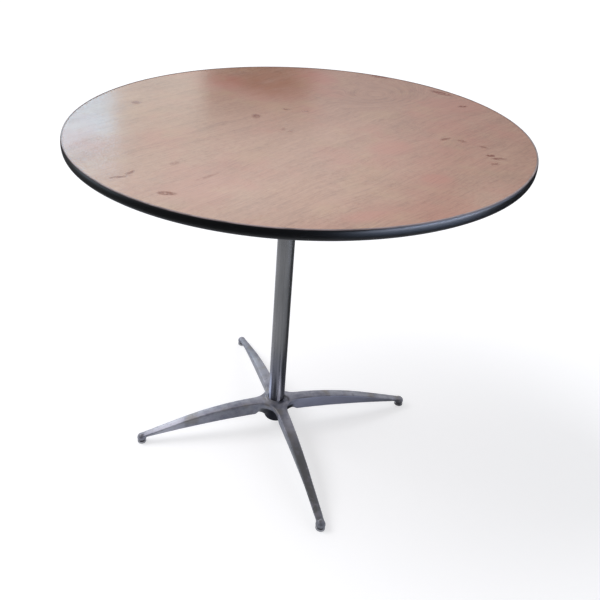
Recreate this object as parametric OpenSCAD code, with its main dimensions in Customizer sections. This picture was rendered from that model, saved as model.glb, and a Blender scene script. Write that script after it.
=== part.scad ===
// Round pedestal table. A plywood top with a vinyl edge stands on a plain tube
// column, and a tie rod clamps the column between a mounting spider and a cast
// four-leg base. Each foot has a levelling glide.
// Millimetres, +Z up. The origin is on the floor, on the axis of the column.

/* [Table] */
// Height of the wood surface above the floor
table_h = 762; // [700:1:1070]
// Diameter of the top over its edge moulding
top_d = 914.4; // [760:0.1:1070]
// Distance from the axis of the column to the axis of each foot
foot_r = 327; // [290:1:400]

/* [Tabletop] */
// Thickness of the finished panel
panel_t = 17.5; // [16:0.5:28]
// Thickness of the face veneer and of the back veneer
veneer_t = 0.6; // [0.4:0.1:2]

/* [Edge moulding] */
// Thickness of the head at the middle of its face
edge_t = 4; // [2.6:0.1:6]
// Thickness of the head at its upper and lower lips
lip_t = 1.5; // [0.8:0.1:2.4]
// How far the lips stand proud of the panel, above and below
lip_proud = 0.7; // [0.2:0.1:2]
// Squareness of the rounded face, where 2 is an ellipse
edge_square = 2.6; // [2:0.1:4]
// Length of the tongue that grips the panel
tongue_l = 9.5; // [6:0.5:14]
// Thickness of the tongue between its barbs
tongue_t = 1.4; // [0.8:0.1:2]
// Height of the barbs on each side of the tongue
barb_h = 0.6; // [0.3:0.1:1]
// Number of barbs along the tongue
barb_n = 3; // [2:1:5]
// Width that the kerf in the panel has over the barbs, on each side
kerf_gap = 0.1; // [0.05:0.05:0.3]

/* [Mounting spider] */
// Reach of the arms from the axis
spider_reach = 152; // [125:1:200]
// Width of the arms
arm_w = 30; // [24:1:44]
// Thickness of the arms and of the hub's flange
arm_t = 4.5; // [3:0.5:7]
// Diameter of the hub's flange
spider_flange_d = 84; // [70:1:100]
// Wall round the socket that takes the column
spider_wall = 4.5; // [3:0.5:8]
// Depth of the socket that takes the column
spider_socket = 14; // [8:1:20]
// Thickness of the web that the column bears on
spider_web = 6; // [4:0.5:12]
// Thickness of the ribs along the edges of the arms
rib_t = 4; // [3:0.5:6]
// Depth of the ribs at the hub, below the arm
rib_h = 16; // [8:1:22]
// Depth of the ribs at their outer ends, below the arm
rib_end_h = 3; // [1:0.5:6]

/* [Spider screws] */
// Diameter of the wood screws
screw_d = 4.8; // [4:0.1:6]
// Diameter of the screws' pan heads
screw_head_d = 9.4; // [8:0.1:12]
// Height of the screws' pan heads
screw_head_h = 3; // [2:0.1:4.5]
// Depth of the screws in the panel
screw_grip = 13; // [8:0.5:14]
// Distance from the end of an arm to its outer screw
screw_end = 15; // [10:1:25]
// Distance from the hub's flange to the inner screw of each arm
screw_hub = 28; // [12:1:40]
// Clearance round a screw in its hole in the arm
screw_gap = 0.4; // [0.2:0.1:1]

/* [Column] */
// Outer diameter of the tube
column_d = 38.1; // [32:0.1:50]
// Wall of the tube
column_wall = 2.1; // [1.2:0.1:4]
// Clearance round the tube in its sockets
column_gap = 0.1; // [0.05:0.05:0.4]

/* [Tie rod] */
// Diameter of the threaded rod
rod_d = 9.5; // [8:0.1:12]
// Width across the flats of the nuts
nut_af = 14.3; // [13.5:0.1:19]
// Height of the nuts
nut_h = 8.3; // [6:0.1:11]
// How far the rod stands out of each nut
rod_end = 2.5; // [1:0.5:6]
// Clearance of the rod in the castings
rod_gap = 0.6; // [0.3:0.1:1.5]
// Diameter of the plate washer
washer_d = 30; // [24:1:32]
// Thickness of the plate washer
washer_t = 2.5; // [1.5:0.1:4]
// Width of the lock washer's section
lock_w = 3.4; // [2.5:0.1:4.5]
// Thickness of the lock washer
lock_t = 2.4; // [1.5:0.1:3.5]
// Gap between the ends of the lock washer, in degrees
lock_split = 10; // [5:1:25]

/* [Base hub] */
// Height of the rim of the column's socket
hub_z = 81; // [78:0.5:95]
// Wall round the column at the rim of the socket
hub_wall = 3; // [2:0.5:6]
// Width that the hub's fillet adds at its foot
hub_flare = 7; // [3:0.5:12]
// Depth of the column's socket in the base
hub_socket = 9; // [6:0.5:16]
// Diameter of the boss under the hub
boss_d = 54; // [50:1:60]
// Height of the boss's lower face above the floor
boss_z = 26; // [20:0.5:30]
// Diameter of the recess for the clamp nut
recess_d = 36; // [34:1:42]
// Depth of the recess past the end of the rod
recess_spare = 4; // [1:0.5:8]

/* [Base legs] */
// Height of the legs' upper face at the hub
leg_hub_z = 76; // [70:0.5:77]
// Height of the legs' upper face at the feet
leg_tip_z = 20.5; // [17:0.5:32]
// Depth of a leg at the hub
leg_depth = 37; // [26:0.5:38]
// Width of a leg at the hub
leg_hub_w = 27; // [20:0.5:30]
// Width of a leg at its foot
leg_tip_w = 17.8; // [14:0.2:19]
// How far each side leans in towards the lower edge
leg_taper = 6; // [3:0.5:6.5]
// Radius of the upper edges
leg_round = 2.5; // [1:0.25:3.5]
// Radius of the lower edges
leg_under_round = 2.2; // [1:0.1:2.5]
// Height of the crown along the middle of the upper face
leg_crown = 0.6; // [0.2:0.1:2]
// Distance from the axis at which the legs begin to bend down
bend_start = 35; // [32:1:100]
// Distance from the axis at which the legs run straight again
bend_end = 237; // [140:1:270]
// Shape of the lower edge's arch, where 1 is a straight line and 2 a parabola
leg_arch = 1.6; // [1.3:0.1:2.4]
// Radius of the webs between neighbouring legs
web_r = 38; // [25:1:50]
// Thickness of those webs at their middle
web_t = 19; // [12:0.5:26]
// Length of the gusset under each leg, out from the boss
gusset_l = 17; // [8:1:40]
// Depth of the gusset where it meets the boss
gusset_h = 10; // [6:0.5:12]

/* [Feet] */
// Diameter of the round nose at the end of each leg
nose_d = 21; // [20:0.2:26]
// Height of the nose's dome
nose_dome = 10; // [6:0.5:11]
// How far the dome rises over the leg
nose_rise = 2.5; // [0.5:0.5:6]
// Thickness of metal left over the end of the glide's stem
nose_roof = 3; // [2:0.5:5]

/* [Glides] */
// Diameter of the steel cup
cup_d = 20; // [16:0.5:24]
// Height of the steel cup
cup_h = 5.8; // [5.5:0.1:12]
// Wall of the steel cup
cup_wall = 1.1; // [0.8:0.1:1.6]
// How far the nylon sole stands out under the cup
sole_proud = 1.2; // [0.6:0.1:3]
// Thickness of the nylon sole
sole_t = 3.2; // [2:0.1:3.4]
// Diameter of the threaded stem
stem_d = 6.4; // [5:0.1:8]
// Width across the flats of the stem's hexagon
hex_af = 15; // [10:0.5:16]
// Height of the stem's hexagon
hex_h = 2; // [2:0.2:7]
// Diameter of the stem's head in the cup
head_d = 11; // [9:0.5:13]
// Clearance of the thread in the nose and of the neck in the cup
thread_gap = 0.05; // [0.03:0.01:0.1]
// Clearance of the faces that turn or come apart
turn_gap = 0.3; // [0.2:0.05:0.5]

/* [Hidden] */

$fn = 96;
// Length that a cutting shape runs past the face it cuts
cut = 1;
// Chamfer on the ends of rods, screws and nuts
chamfer = 0.6;

wood = "#b8988a";
veneer = "#c4a293";
vinyl = "#1c1c20";
cast_metal = "#8f909b";
tube_metal = "#9a9ba0";
steel = "#b4b4b2";
nylon = "#d6d3c8";

// Tabletop
panel_r = top_d / 2 - edge_t;
panel_z = table_h - panel_t;
edge_h = panel_t + 2 * lip_proud;
kerf_h = tongue_t + 2 * barb_h + 2 * kerf_gap;
kerf_l = tongue_l + cut;

// Mounting spider
nut_pocket = nut_h + rod_end + cut;
nut_pocket_r = nut_af / sqrt(3) + cut;
spider_hub_h = nut_pocket + spider_web + spider_socket;
spider_hub_r = column_d / 2 + column_gap + spider_wall;
spider_roof_z = panel_z - nut_pocket - spider_web;
arm_side_y = arm_w / 2 - rib_t;
rib_end_x = spider_reach - arm_w / 2;
screw_radii = [spider_flange_d / 2 + screw_hub, spider_reach - screw_end];

// Base hub
socket_z = hub_z - hub_socket;
column_r = column_d / 2;
recess_h = washer_t + lock_t + nut_h + rod_end + recess_spare;
washer_z = boss_z + recess_h - washer_t;
lock_z = washer_z - lock_t;
nut_z = lock_z - nut_h;
lock_r = rod_d / 2 + rod_gap;

// Glides, from the floor up
cup_z = sole_proud;
head_z = sole_t + turn_gap;
head_h = cup_z + cup_h - cup_wall - turn_gap - head_z;
hex_z = cup_z + cup_h + turn_gap;
nose_z = hex_z + hex_h + turn_gap;
nose_top = leg_tip_z + nose_rise;
stem_top = nose_top - nose_roof - turn_gap;
neck_d = stem_d - 2 * turn_gap;

// Legs. The lower edge falls in an arch from the hub to just above the foot of the nose.
under_hub_z = leg_hub_z - leg_depth;
under_tip_z = nose_z + chamfer;
leg_fall = (leg_hub_z - leg_tip_z) / (foot_r - (bend_end + bend_start) / 2);
web_x = leg_hub_w / 2 + web_r;
crotch_x = web_x - web_r / sqrt(2);
leg_rows = 30;
row_growth = 1.5;
edge_steps = 4;
under_steps = 3;
half_pts = edge_steps + under_steps + 3;
row_pts = 2 * half_pts;
legs = 4;

// Height of a leg's upper face at the distance x from the axis
function leg_top(x) =
    x < bend_start ? leg_hub_z
    : x < bend_end ? leg_hub_z - leg_fall * pow(x - bend_start, 2) / (2 * (bend_end - bend_start))
    : leg_tip_z + leg_fall * (foot_r - x);

// Depth of the gusset under a leg at the distance x from the axis
function gusset(x) = gusset_h * pow(max(0, min(1, 1 - (x - boss_d / 2) / gusset_l)), 2);

// Height of a leg's arched underside at the distance x from the axis
function leg_arch_z(x) =
    under_hub_z
    - (under_hub_z - under_tip_z) * pow(max(0, x - boss_d / 2) / (foot_r - boss_d / 2), leg_arch);

// Rise of a leg's lower corners as they run out into the thinner web
function web_rise(x) = let (share = max(0, (web_x - x) / (web_x - crotch_x)))
    (leg_hub_z - web_t - under_hub_z) * (1 - pow(1 - share, 2));

// Half width of a leg, with the web that blends it into its neighbour
function leg_half(x) =
    x < web_x ? web_x - sqrt(pow(web_r, 2) - pow(web_x - x, 2))
    : (leg_hub_w + (leg_tip_w - leg_hub_w) * (x - web_x) / (foot_r - web_x)) / 2;

// Slope of that outline
function leg_slope(x) =
    x < web_x ? -(web_x - x) / sqrt(pow(web_r, 2) - pow(web_x - x, 2))
    : (leg_tip_w - leg_hub_w) / (foot_r - web_x) / 2;

// Half of a leg's section, from the middle of the top to the middle of the
// underside, as pairs of inset from the outline and height
function half_section(x) = let (top = leg_top(x) - leg_crown, low = leg_arch_z(x) + web_rise(x)) [
    [undef, leg_top(x)],
    for (i = [0:edge_steps]) let (a = 90 * i / edge_steps)
        [leg_round * (1 - sin(a)), top - leg_round * (1 - cos(a))],
    for (i = [0:under_steps]) let (a = 90 * i / under_steps)
        [leg_taper + leg_under_round * (1 - cos(a)), low + leg_under_round * (1 - sin(a))],
    [undef, leg_arch_z(x) - gusset(x)]
];

// A point of the section at x, on the side +1 or -1. An inset follows the
// outline's normal, so neighbouring legs share the points of their web.
function leg_point(x, side, pair) =
    is_undef(pair[0]) ? [x, 0, pair[1]]
    : let (m = leg_slope(x), n = sqrt(1 + m * m))
      [x + pair[0] * m / n, side * (leg_half(x) - pair[0] / n), pair[1]];

// The closed section at x, round from the middle of the top
function leg_section(x) = let (half = half_section(x)) [
    for (j = [0:half_pts]) leg_point(x, 1, half[j]),
    for (j = [half_pts - 1:-1:1]) leg_point(x, -1, half[j])
];

function row_x(i) = crotch_x + (foot_r - crotch_x) * pow(i / leg_rows, row_growth);

// A point turned about the axis by k right angles
function turned(p, k) = [p.x * cos(90 * k) - p.y * sin(90 * k),
    p.x * sin(90 * k) + p.y * cos(90 * k), p.z];

// Index of point j in row i of leg k. The first row's right side belongs to
// the leg before, which closes the hub without doubled points.
function at(k, i, j) =
    j == row_pts ? at(k, i, 0)
    : i == 0 && j > half_pts ? at((k + legs - 1) % legs, 0, row_pts - j)
    : (k * (leg_rows + 1) + i) * row_pts + j;

// The points of a round profile from the angle a0 to a1, about [cx, cy]
function arc(cx, cy, rx, ry, a0, a1, steps) =
    [for (i = [0:steps]) let (a = a0 + (a1 - a0) * i / steps) [cx + rx * cos(a), cy + ry * sin(a)]];

module at_each_leg() {
    for (k = [0:legs - 1])
        rotate([0, 0, 90 * k])
            children();
}

// A hexagonal prism by its width across the flats
module hexagon(af, h) {
    cylinder(d = af * 2 / sqrt(3), h = h, $fn = 6);
}

module at_each_screw() {
    at_each_leg()
        for (r = screw_radii)
            translate([r, 0, 0])
                children();
}

module tabletop_core() {
    color(wood)
    difference() {
        translate([0, 0, panel_z + veneer_t])
            cylinder(r = panel_r, h = panel_t - 2 * veneer_t);
        kerf();
        pilot_holes();
    }
}

// The slot for the moulding's tongue, round the middle of the panel's edge
module kerf() {
    translate([0, 0, panel_z + panel_t / 2 - kerf_h / 2])
    rotate_extrude()
    translate([panel_r - kerf_l, 0])
        square([kerf_l + cut, kerf_h]);
}

module pilot_holes() {
    at_each_screw()
        translate([0, 0, panel_z - cut])
            cylinder(d = screw_d + 2 * thread_gap, h = screw_grip + 2 * cut);
}

module face_veneer() {
    color(veneer)
    translate([0, 0, table_h - veneer_t])
        cylinder(r = panel_r, h = veneer_t);
}

module back_veneer() {
    color(veneer)
    difference() {
        translate([0, 0, panel_z])
            cylinder(r = panel_r, h = veneer_t);
        pilot_holes();
    }
}

// A vinyl T-moulding. Its head covers the edge of the panel and laps both
// faces, and its barbed tongue lies in the kerf.
module edge_moulding() {
    color(vinyl)
    translate([0, 0, panel_z + panel_t / 2])
    rotate_extrude()
    translate([panel_r, 0])
        polygon(moulding_profile());
}

// A point of the head's rounded face at the angle a
function bulge(a) = let (c = max(0, cos(a)), s = sin(a))
    [lip_t + (edge_t - lip_t) * pow(c, 2 / edge_square),
     edge_h / 2 * sign(s) * pow(abs(s), 2 / edge_square)];

// One barb of the tongue's upper side: a slope outwards, then a step back
function barb(i) = let (pitch = tongue_l / barb_n, x = -tongue_l + pitch * i) [
    [x, tongue_t / 2],
    [x + pitch * 0.7, tongue_t / 2 + barb_h],
    [x + pitch * 0.8, tongue_t / 2]
];

function moulding_profile() = let (
    upper = [for (i = [0:barb_n - 1]) each barb(i)],
    lower = [for (i = [len(upper) - 1:-1:0]) [upper[i].x, -upper[i].y]]
) concat(
    upper,
    [[0, tongue_t / 2], [0, edge_h / 2]],
    [for (a = [90:-10:-90]) bulge(a)],
    [[0, -edge_h / 2], [0, -tongue_t / 2]],
    lower
);

// A cast plate with four ribbed arms under the panel. Its hub takes the top
// of the column from below and the tie rod's nut from above.
module mounting_spider() {
    color(cast_metal)
    difference() {
        union() {
            spider_hub();
            at_each_leg()
                spider_arm();
        }
        translate([0, 0, panel_z - nut_pocket])
            cylinder(r = nut_pocket_r, h = nut_pocket + cut);
        translate([0, 0, spider_roof_z - cut])
            cylinder(r = rod_d / 2 + rod_gap, h = spider_web + 2 * cut);
        translate([0, 0, spider_roof_z - spider_socket - cut])
            cylinder(r = column_r + column_gap, h = spider_socket + cut);
        at_each_screw()
            translate([0, 0, panel_z - arm_t - cut])
                cylinder(d = screw_d + 2 * screw_gap, h = arm_t + 2 * cut);
    }
}

module spider_hub() {
    low = spider_roof_z - spider_socket;
    cone_r = (spider_hub_r + spider_flange_d / 2) / 2;
    rotate_extrude()
        polygon([
            [0, low],
            [spider_hub_r - cut, low],
            [spider_hub_r, low + cut],
            [spider_hub_r, panel_z - spider_hub_h * 0.55],
            [cone_r, panel_z - arm_t - cut],
            [spider_flange_d / 2 - cut, panel_z - arm_t],
            [spider_flange_d / 2, panel_z - arm_t + cut],
            [spider_flange_d / 2, panel_z],
            [0, panel_z]
        ]);
}

module spider_arm() {
    tip = arm_w / 2;
    translate([0, 0, panel_z - arm_t])
    linear_extrude(arm_t)
        polygon(concat(
            [[0, tip], [0, -tip]],
            arc(spider_reach - tip, 0, tip, tip, -90, 90, 12)
        ));
    for (side = [-1, 1])
        translate([0, side * (arm_side_y + rib_t / 2) + rib_t / 2, 0])
        rotate([90, 0, 0])
        linear_extrude(rib_t)
            polygon([
                [spider_hub_r - cut, panel_z - arm_t / 2],
                [spider_hub_r - cut, panel_z - arm_t - rib_h],
                [spider_flange_d / 2, panel_z - arm_t - rib_h],
                [rib_end_x, panel_z - arm_t - rib_end_h],
                [rib_end_x, panel_z - arm_t / 2]
            ]);
}

// Pan-head wood screws, two in each arm
module spider_screws() {
    under = panel_z - arm_t;
    color(steel)
    at_each_screw() {
        translate([0, 0, under - screw_head_h])
            cylinder(d1 = screw_head_d * 0.72, d2 = screw_head_d, h = screw_head_h * 0.55);
        translate([0, 0, under - screw_head_h * 0.45])
            cylinder(d = screw_head_d, h = screw_head_h * 0.45);
        translate([0, 0, under - cut])
            cylinder(d = screw_d, h = arm_t + screw_grip - screw_d + cut);
        translate([0, 0, panel_z + screw_grip - screw_d])
            cylinder(d1 = screw_d, d2 = chamfer, h = screw_d);
    }
}

module column_tube() {
    color(tube_metal)
    translate([0, 0, socket_z])
    difference() {
        cylinder(r = column_r, h = spider_roof_z - socket_z);
        translate([0, 0, -cut])
            cylinder(r = column_r - column_wall, h = spider_roof_z - socket_z + 2 * cut);
    }
}

// The rod runs from the nut in the spider, through the column and the hub, to
// the clamp nut under the base
module tie_rod() {
    low = nut_z - rod_end;
    high = panel_z - cut;
    color(steel)
    rotate_extrude()
        polygon([
            [0, low], [rod_d / 2 - chamfer, low], [rod_d / 2, low + chamfer],
            [rod_d / 2, high - chamfer], [rod_d / 2 - chamfer, high], [0, high]
        ]);
}

// A hexagon nut whose corners are turned off at both faces
module rod_nut(z) {
    corner = nut_af / sqrt(3);
    translate([0, 0, z])
    difference() {
        intersection() {
            hexagon(nut_af, nut_h);
            rotate_extrude()
                polygon([
                    [0, 0], [nut_af / 2, 0], [corner, chamfer],
                    [corner, nut_h - chamfer], [nut_af / 2, nut_h], [0, nut_h]
                ]);
        }
        translate([0, 0, -cut])
            cylinder(d = rod_d + 2 * thread_gap, h = nut_h + 2 * cut);
    }
}

module top_nut() {
    color(steel)
        rod_nut(panel_z - nut_pocket);
}

module clamp_nut() {
    color(steel)
        rod_nut(nut_z);
}

module plate_washer() {
    color(steel)
    translate([0, 0, washer_z])
    difference() {
        cylinder(d = washer_d, h = washer_t);
        translate([0, 0, -cut])
            cylinder(r = rod_d / 2 + rod_gap, h = washer_t + 2 * cut);
    }
}

// A split ring under the plate washer
module lock_washer() {
    color(steel)
    translate([0, 0, lock_z])
    rotate([0, 0, lock_split / 2])
    rotate_extrude(angle = 360 - lock_split)
    translate([lock_r, 0])
        square([lock_w, lock_t]);
}

// One casting: hub, four legs and the round noses that take the glides
module base_casting() {
    color(cast_metal)
    difference() {
        union() {
            legs_and_webs();
            hub_collar();
            translate([0, 0, boss_z])
                cylinder(d = boss_d, h = leg_hub_z - web_t / 2 - boss_z);
            at_each_leg()
                nose();
        }
        translate([0, 0, socket_z])
            cylinder(r = column_r + column_gap, h = hub_socket + cut);
        translate([0, 0, boss_z])
            cylinder(r = rod_d / 2 + rod_gap, h = hub_z - boss_z);
        translate([0, 0, boss_z - cut])
            cylinder(d = recess_d, h = recess_h + cut);
        at_each_leg()
            translate([foot_r, 0, nose_z - cut])
                cylinder(d = stem_d + 2 * thread_gap, h = nose_top - nose_roof - nose_z + cut);
    }
}

// The legs and the webs between them, as one closed loft. Each leg is a row
// of sections that widen along the web until they meet the next leg's.
module legs_and_webs() {
    points = concat(
        [for (k = [0:legs - 1], i = [0:leg_rows], p = leg_section(row_x(i))) turned(p, k)],
        [[0, 0, leg_hub_z], [0, 0, under_hub_z - gusset_h]]
    );
    top_mid = legs * (leg_rows + 1) * row_pts;
    under_mid = top_mid + 1;
    sides = [
        for (k = [0:legs - 1], i = [0:leg_rows - 1], j = [0:row_pts - 1])
            let (a = at(k, i, j), b = at(k, i, j + 1), c = at(k, i + 1, j + 1), d = at(k, i + 1, j))
            each [[a, b, c], [a, c, d]]
    ];
    ends = [for (k = [0:legs - 1]) [for (j = [0:row_pts - 1]) at(k, leg_rows, j)]];
    hub = [
        for (k = [0:legs - 1]) let (next = (k + 1) % legs) each [
            [top_mid, at(k, 0, 1), at(k, 0, 0)],
            [top_mid, at(next, 0, 0), at(k, 0, 1)],
            [under_mid, at(k, 0, half_pts), at(k, 0, half_pts - 1)],
            [under_mid, at(k, 0, half_pts - 1), at(next, 0, half_pts)]
        ]
    ];
    polyhedron(points, concat(sides, ends, hub), convexity = 6);
}

// The rim that stands round the foot of the column, with a fillet to the legs
module hub_collar() {
    rim_r = column_r + column_gap + hub_wall;
    rise = hub_z - leg_hub_z + cut;
    rotate_extrude()
        polygon(concat(
            [[0, leg_hub_z - 2 * cut], [rim_r + hub_flare, leg_hub_z - 2 * cut]],
            arc(rim_r + hub_flare, hub_z - chamfer, hub_flare, rise - chamfer, 270, 180, 6),
            [[rim_r - chamfer, hub_z], [0, hub_z]]
        ));
}

// A domed post at the end of a leg, bored from below for the glide's stem
module nose() {
    dome_z = nose_top - nose_dome;
    translate([foot_r, 0, 0])
    rotate_extrude()
        polygon(concat(
            [[0, nose_z], [nose_d / 2 - chamfer, nose_z], [nose_d / 2, nose_z + chamfer]],
            arc(0, dome_z, nose_d / 2, nose_dome, 0, 90, 8)
        ));
}

module at_foot(k) {
    rotate([0, 0, 90 * k])
    translate([foot_r, 0, 0])
        children();
}

// A threaded stem with a hexagon to turn it by and a head that turns in the cup
module glide_stem(k) {
    color(steel)
    at_foot(k) {
        translate([0, 0, head_z])
            cylinder(d = head_d, h = head_h);
        translate([0, 0, head_z])
            cylinder(d = neck_d, h = hex_z - head_z + chamfer);
        translate([0, 0, hex_z])
            hexagon(hex_af, hex_h);
        translate([0, 0, hex_z + hex_h - chamfer])
            cylinder(d = stem_d, h = stem_top - hex_z - hex_h);
        translate([0, 0, stem_top - chamfer])
            cylinder(d1 = stem_d, d2 = stem_d - 2 * chamfer, h = chamfer);
    }
}

// A pressed steel cup, open below
module glide_cup(k) {
    r = cup_d / 2;
    color(steel)
    at_foot(k)
    rotate_extrude()
        polygon(concat(
            [[neck_d / 2 + turn_gap, cup_z + cup_h], [neck_d / 2 + turn_gap, cup_z + cup_h - cup_wall],
             [r - cup_wall, cup_z + cup_h - cup_wall], [r - cup_wall, cup_z], [r, cup_z]],
            arc(r - 2 * cup_wall, cup_z + cup_h - 2 * cup_wall, 2 * cup_wall, 2 * cup_wall, 0, 90, 6)
        ));
}

// A nylon disc pressed into the cup, with a rounded lower edge
module glide_sole(k) {
    r = cup_d / 2 - cup_wall;
    round_r = sole_proud;
    color(nylon)
    at_foot(k)
    rotate_extrude()
        polygon(concat(
            [[0, sole_t], [0, 0]],
            arc(r - round_r, round_r, round_r, round_r, -90, 0, 5),
            [[r, sole_t]]
        ));
}

tabletop_core();
face_veneer();
back_veneer();
edge_moulding();
mounting_spider();
spider_screws();
column_tube();
tie_rod();
top_nut();
base_casting();
plate_washer();
lock_washer();
clamp_nut();
glide_stem(0);  // glide_stem_right
glide_cup(0);  // glide_cup_right
glide_sole(0);  // glide_sole_right
glide_stem(1);  // glide_stem_back
glide_cup(1);  // glide_cup_back
glide_sole(1);  // glide_sole_back
glide_stem(2);  // glide_stem_left
glide_cup(2);  // glide_cup_left
glide_sole(2);  // glide_sole_left
glide_stem(3);  // glide_stem_front
glide_cup(3);  // glide_cup_front
glide_sole(3);  // glide_sole_front
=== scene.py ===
"""Looks of a round pedestal table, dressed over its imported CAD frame.

Each sub-assembly is a class that makes its meshes and dresses them. Each finish
is a frozen dataclass that builds one material. Lengths are metres, +Z is up, and
the column stands on the Z axis with the floor at zero.
"""

import logging
import math
from collections.abc import Iterable, Sequence
from dataclasses import dataclass
from enum import Enum
from functools import cached_property

import bmesh
import bpy
from mathutils import Matrix, Vector


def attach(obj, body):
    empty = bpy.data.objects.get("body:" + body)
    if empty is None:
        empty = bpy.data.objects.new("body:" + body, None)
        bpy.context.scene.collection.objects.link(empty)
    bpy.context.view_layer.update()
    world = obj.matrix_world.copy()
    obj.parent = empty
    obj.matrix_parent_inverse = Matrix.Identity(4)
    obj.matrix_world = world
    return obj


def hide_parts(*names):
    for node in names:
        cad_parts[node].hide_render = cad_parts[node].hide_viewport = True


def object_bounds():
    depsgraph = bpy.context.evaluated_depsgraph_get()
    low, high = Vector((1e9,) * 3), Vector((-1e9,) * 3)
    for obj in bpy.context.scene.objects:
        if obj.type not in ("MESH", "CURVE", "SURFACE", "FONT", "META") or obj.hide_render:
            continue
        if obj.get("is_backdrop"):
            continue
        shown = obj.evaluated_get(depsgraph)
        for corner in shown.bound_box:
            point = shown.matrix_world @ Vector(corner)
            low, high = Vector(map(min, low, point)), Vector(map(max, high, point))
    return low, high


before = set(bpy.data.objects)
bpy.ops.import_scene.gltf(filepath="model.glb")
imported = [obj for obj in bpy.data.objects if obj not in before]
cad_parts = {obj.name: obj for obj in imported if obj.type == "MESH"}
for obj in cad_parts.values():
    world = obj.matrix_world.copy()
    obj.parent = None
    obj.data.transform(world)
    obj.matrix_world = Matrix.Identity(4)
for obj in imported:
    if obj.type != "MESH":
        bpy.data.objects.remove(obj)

Colour = tuple[float, float, float, float]
Triple = tuple[float, float, float]
Scale = float | tuple[float, ...]
Outline = Sequence[tuple[float, float]]
Material = bpy.types.Material
Mesh = bmesh.types.BMesh
Edges = list[bmesh.types.BMEdge]

LOG = logging.getLogger("table")
MM = 0.001
FULL_TURN = 2 * math.pi
SHARP = math.radians(32)
WELD = 0.002 * MM
ROUND_SIDES = 24
TURNED_SHARE = 0.48
TURNED_SLOPE = math.tan(math.radians(30))
BLACK: Colour = (0.0, 0.0, 0.0, 1.0)
WHITE: Colour = (1.0, 1.0, 1.0, 1.0)


class Foot(Enum):
    """The four legs, by the direction each points in, in quarter turns from +X."""

    RIGHT = 0
    BACK = 1
    LEFT = 2
    FRONT = 3

    @property
    def label(self) -> str:
        """The word that names this leg in bodies and pieces."""
        return self.name.lower()

    def place(self, radius: float) -> Vector:
        """Give the point on the floor that lies this way from the axis, at a radius."""
        turn = self.value * math.pi / 2
        return Vector((radius * math.cos(turn), radius * math.sin(turn), 0.0))


class Slot(Enum):
    """The record's material slots, one named on each new piece."""

    BLACK_VINYL = "black_vinyl"
    CAST_ALUMINIUM = "cast_aluminium"
    ZINC_STEEL = "zinc_steel"
    CUP_STEEL = "cup_steel"
    NYLON = "nylon"


def paint(red: float, green: float, blue: float) -> Colour:
    """Turn a display colour into the linear colour that a shader takes.

    Args:
        red: Red from 0 to 255.
        green: Green from 0 to 255.
        blue: Blue from 0 to 255.

    Returns:
        The linear colour with full alpha.
    """
    shares = [part / 255 for part in (red, green, blue)]
    linear = [s / 12.92 if s <= 0.04045 else ((s + 0.055) / 1.055) ** 2.4 for s in shares]
    return (linear[0], linear[1], linear[2], 1.0)


# Shader building


@dataclass(frozen=True)
class Noise:
    """A cloud noise: cells per metre, octaves, strength of the finer octaves and distortion.

    The scale holds for all axes, or for X and Y, or for each axis.
    """

    scale: Scale
    detail: float = 2.0
    roughness: float = 0.5
    warp: float = 0.0


@dataclass(frozen=True)
class Step:
    """A soft step from 0 at low to its height at high, which may be lower."""

    low: float
    high: float
    height: float = 1.0


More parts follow.
